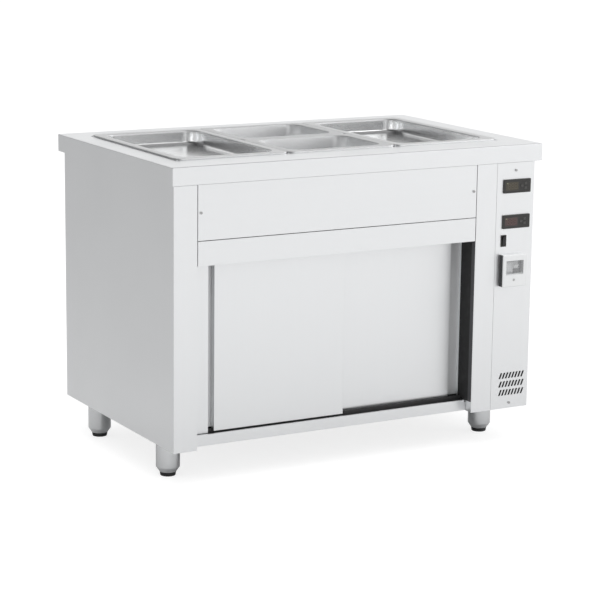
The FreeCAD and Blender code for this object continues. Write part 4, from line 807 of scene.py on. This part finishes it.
class Switches(bpy.types.Operator):
    """Build the rocker, the surface box and the breaker behind its window"""
    bl_idname = "bain_marie.switches"
    bl_label = "Switches"

    # The surface box's dark strip of painted shade: its width from the left, and where it starts behind the
    # front
    BOX_PAINTED_SHADE_WIDTH = 0.002
    PLATE_DEPTH = 0.0045

    # How far a layer on the breaker's face stands out, and how far it reaches in
    LAYER_PROUD = 0.0003
    LAYER_SUNK = 0.0002
    # The label's distances from the window's left, bottom and top, and from the toggle
    LABEL_LEFT = 0.004
    LABEL_BOTTOM = 0.006
    LABEL_TOP = 0.008
    LABEL_TO_TOGGLE = 0.008
    # The painted shade patch's distances from the window's right, bottom and top
    PAINTED_SHADE_RIGHT = 0.002
    PAINTED_SHADE_BOTTOM = 0.002
    PAINTED_SHADE_TOP = 0.003
    # How far the painted shade patch reaches past the toggle's left, and its gaps to the toggle's bottom and
    # right
    PAINTED_SHADE_PAST = 0.0015
    PAINTED_SHADE_BELOW = 0.0005
    PAINTED_SHADE_BESIDE = 0.001
    # How far below the toggle's bottom the painted shade patch beside it starts
    BESIDE_FOOT = 0.0004

    def execute(self, context):
        dress("rocker_frame", "moulding", control_plastic(), MOULDED_EDGE)
        dress("rocker_switch", "moulding", library("rocker_plastic"), MOULDED_EDGE)
        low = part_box("switch_box")[0]
        # The surface box's plastic, with a dark strip of painted shade down its left side
        box_plastic_and_painted_shade = library("surface_box", surface_box_with_painted_shade, colour=controls().box_colour,
                              side_colour=controls().box_painted_shade_colour, hinge_x=low.x + self.BOX_PAINTED_SHADE_WIDTH,
                              plate_y=low.y + self.PLATE_DEPTH)
        dress("switch_box", "moulding", box_plastic_and_painted_shade, MOULDED_EDGE)
        dress("switch_window", "flap", library("smoked_window"), FINE_EDGE)
        dress("breaker", "moulding", library("breaker_plastic"), MOULDED_EDGE)
        dress("breaker_toggle", "moulding", library("toggle_plastic"), EASED_EDGE)
        dress("contactors", "moulding", library("switchgear_plastic"), HOUSING_EDGE)
        self.breaker_face()
        return {"FINISHED"}

    def breaker_face(self):
        """The breaker's blank label at the left of its face, and a dark layer of painted shade round its
        toggle.
        """
        window_low, window_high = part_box("switch_window")
        toggle_low, toggle_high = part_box("breaker_toggle")
        label = ((window_low.x + self.LABEL_LEFT, window_low.z + self.LABEL_BOTTOM),
                 (toggle_low.x - self.LABEL_TO_TOGGLE, window_high.z - self.LABEL_TOP))
        self.layer("breaker_label", "label_card", (label,))
        # Painted shade: a dark layer below and beside the toggle
        right = window_high.x - self.PAINTED_SHADE_RIGHT
        below = ((toggle_low.x - self.PAINTED_SHADE_PAST, window_low.z + self.PAINTED_SHADE_BOTTOM),
                 (right, toggle_low.z - self.PAINTED_SHADE_BELOW))
        beside = ((toggle_high.x + self.PAINTED_SHADE_BESIDE, toggle_low.z - self.BESIDE_FOOT),
                  (right, window_high.z - self.PAINTED_SHADE_TOP))
        self.layer("breaker_painted_shade", "recess_plastic", (below, beside))

    def layer(self, name, finish, parts):
        """A thin layer on the breaker's face, from the x and z of each part's two corners."""
        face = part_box("breaker")[0].y
        bm = bmesh.new()
        for (left, bottom), (right, top) in parts:
            slab(bm, (left, face - self.LAYER_PROUD, bottom), (right, face + self.LAYER_SUNK, top))
        round_edges(bm, LAYER_EDGE)
        piece(name, bm, library(finish), "cabinet", "switchgear_plastic")


class Services(bpy.types.Operator):
    """Finish the cable gland at the back"""
    bl_idname = "bain_marie.services"
    bl_label = "Cable gland"

    def execute(self, context):
        dress("cable_gland", "moulding", library("gland_plastic"), GLAND_EDGE)
        return {"FINISHED"}


class Feet(bpy.types.Operator):
    """Finish the feet: steel sleeves over rubber pads"""
    bl_idname = "bain_marie.feet"
    bl_label = "Feet"

    PAD_SEGMENTS = 3

    def execute(self, context):
        dress("leg_sleeves", "turned", library("turned_steel"))
        for corner in ("front_left", "rear_left", "front_right", "rear_right"):
            dress("foot_pad_" + corner, "moulding", library("pad_rubber"), PAD_EDGE, self.PAD_SEGMENTS)
        return {"FINISHED"}


class Stage(bpy.types.Operator):
    """Lay the pale floor, hang the soft lights and set the camera"""
    bl_idname = "bain_marie.stage"
    bl_label = "Stage"

    # Half the floor's side
    FLOOR_HALF = 60
    # The floor's grey for the light on the object, the darker one at the back left, and where that starts
    # and is full
    FLOOR_GREY = 0.62
    FLOOR_SHADE = 0.46
    SHADE_LEFT = (0.5, 1.2)
    SHADE_BACK = (0.0, 0.8)
    # What the camera sees of the floor: its grey and its own light
    FLOOR_SEEN = 0.34
    FLOOR_GLOW = 0.76
    # What the floor gives to reflections, from behind the bain-marie to before it
    SHEEN_REACH = (-2.0, 4.0)
    SHEEN = ((0.0, 0.12), (0.28, 0.04), (0.4, 0.0), (0.55, 0.05), (0.9, 0.26))

    # How far reflections of the studio dim to the left and overhead, and where
    DIM_LEFT = 0.85
    DIM_LEFT_PLACE = (0.12, 0.42)
    DIM_OVERHEAD = 0.68
    DIM_OVERHEAD_PLACE = (0.4, 0.72)
    STUDIO_GREY = 0.95

    # Each softbox: its place, side and power, and whether metal reflects it. They look at one point.
    SOFTBOXES = {"softbox_top": ((-0.6, -1.2, 3.4), 3.0, 45, False),
                 "softbox_right": ((3.6, -2.4, 2.2), 2.4, 30, True)}
    SOFTBOX_AIM = Vector((0, 0, 0.5))
    SENSOR_WIDTH = 36.0

    def execute(self, context):
        self.floor()
        self.world()
        self.lights()
        self.camera()
        return {"FINISHED"}

    def floor(self):
        """A pale floor that keeps a faint shadow; to the camera it is as white as the backdrop."""
        bm = bmesh.new()
        bmesh.ops.create_grid(bm, x_segments=2, y_segments=2, size=self.FLOOR_HALF)
        mesh = bpy.data.meshes.new("floor")
        bm.to_mesh(mesh)
        bm.free()
        floor = bpy.data.objects.new("floor", mesh)
        bpy.context.scene.collection.objects.link(floor)
        mesh.materials.append(self.floor_material())

    def floor_material(self):
        graph, close = finish_material("pale_floor", Roughness=1.0, Specular_IOR_Level=0.0,
                                       Emission_Strength=1.0)
        camera, glossy = ray_kinds(graph)
        x, y = graph.axes(graph.place())[:2]
        shade = (x * -1).spread(*self.SHADE_LEFT) * y.spread(*self.SHADE_BACK)
        sheen = graph.node("ShaderNodeValToRGB",
                           {"stops": [(place, grey(level)) for place, level in self.SHEEN]},
                           {"Fac": (y * -1).spread(*self.SHEEN_REACH)})
        tone = graph.blend(shade, grey(self.FLOOR_GREY), grey(self.FLOOR_SHADE))
        glow = graph.blend(glossy, grey(0), sheen)
        return close(Base_Color=graph.blend(camera, tone, grey(self.FLOOR_SEEN)),
                     Emission_Color=graph.blend(camera, glow, grey(self.FLOOR_GLOW)))

    def world(self):
        """A white studio. Metal reflects it dim overhead and at the left."""
        world = bpy.data.worlds.new("studio")
        bpy.context.scene.world = world
        graph = Graph(world)
        camera, glossy = ray_kinds(graph)
        x, _, z = graph.axes(graph.node("ShaderNodeTexCoord"))
        level = ((1 - (x * -1).spread(*self.DIM_LEFT_PLACE) * self.DIM_LEFT)
                 * (1 - z.spread(*self.DIM_OVERHEAD_PLACE) * self.DIM_OVERHEAD))
        seen = graph.blend(level, grey(0), grey(1))
        light = graph.node("ShaderNodeBackground", None,
                           {"Color": graph.blend(glossy, grey(self.STUDIO_GREY), seen)})
        backdrop = graph.node("ShaderNodeBackground", None, {"Color": grey(1)})
        both = graph.node("ShaderNodeMixShader", None, {0: camera, 1: light, 2: backdrop})
        graph.node("ShaderNodeOutputWorld", None, {"Surface": both})

    def lights(self):
        for name, (place, size, power, reflected) in self.SOFTBOXES.items():
            light = bpy.data.lights.new(name, "AREA")
            light.shape = "SQUARE"
            light.size = size
            light.energy = power
            lamp = bpy.data.objects.new(name, light)
            lamp.location = place
            lamp.visible_glossy = reflected
            lamp.rotation_euler = (self.SOFTBOX_AIM - Vector(place)).to_track_quat("-Z", "Y").to_euler()
            bpy.context.scene.collection.objects.link(lamp)

    def camera(self):
        wish = bpy.context.scene.bain_marie_stage
        data = bpy.data.cameras.new("camera")
        data.lens = wish.camera_lens
        data.sensor_width = self.SENSOR_WIDTH
        camera = bpy.data.objects.new("camera", data)
        camera.matrix_world = (Matrix.Translation(wish.camera_place)
                               @ Matrix.Rotation(-wish.camera_yaw, 4, "Z")
                               @ Matrix.Rotation(math.pi / 2 - wish.camera_pitch, 4, "X")
                               @ Matrix.Rotation(wish.camera_roll, 4, "Z"))
        bpy.context.scene.collection.objects.link(camera)
        bpy.context.scene.camera = camera
        bpy.context.scene.view_settings.view_transform = "Standard"


class BainMariePanel(bpy.types.Panel):
    """The steps that dress the bain-marie"""
    bl_idname = "VIEW3D_PT_bain_marie"
    bl_label = "Bain-marie"
    bl_space_type = "VIEW_3D"
    bl_region_type = "UI"
    bl_category = "Bain-marie"

    def draw(self, context):
        for step in STEPS:
            self.layout.operator(step.bl_idname)
        for group in GROUPS:
            settings = getattr(context.scene, group)
            for name in settings.bl_rna.properties.keys():
                if name not in ("rna_type", "name"):
                    self.layout.prop(settings, name)


STEPS = (SheetMetal, Pans, Well, Doors, CupboardInside, Controllers, Switches, Services, Feet, Stage)
GROUPS = {"bain_marie_steel": SteelSettings, "bain_marie_controls": ControlSettings,
          "bain_marie_stage": StageSettings}


def register():
    for name, group in GROUPS.items():
        bpy.utils.register_class(group)
        setattr(bpy.types.Scene, name, bpy.props.PointerProperty(type=group))
    for step in STEPS:
        bpy.utils.register_class(step)
    bpy.utils.register_class(BainMariePanel)


def unregister():
    bpy.utils.unregister_class(BainMariePanel)
    for step in reversed(STEPS):
        bpy.utils.unregister_class(step)
    for name, group in GROUPS.items():
        delattr(bpy.types.Scene, name)
        bpy.utils.unregister_class(group)


def main():
    register()
    for step in STEPS:
        family, name = step.bl_idname.split(".")
        getattr(getattr(bpy.ops, family), name)()


if __name__ == "__main__":
    main()
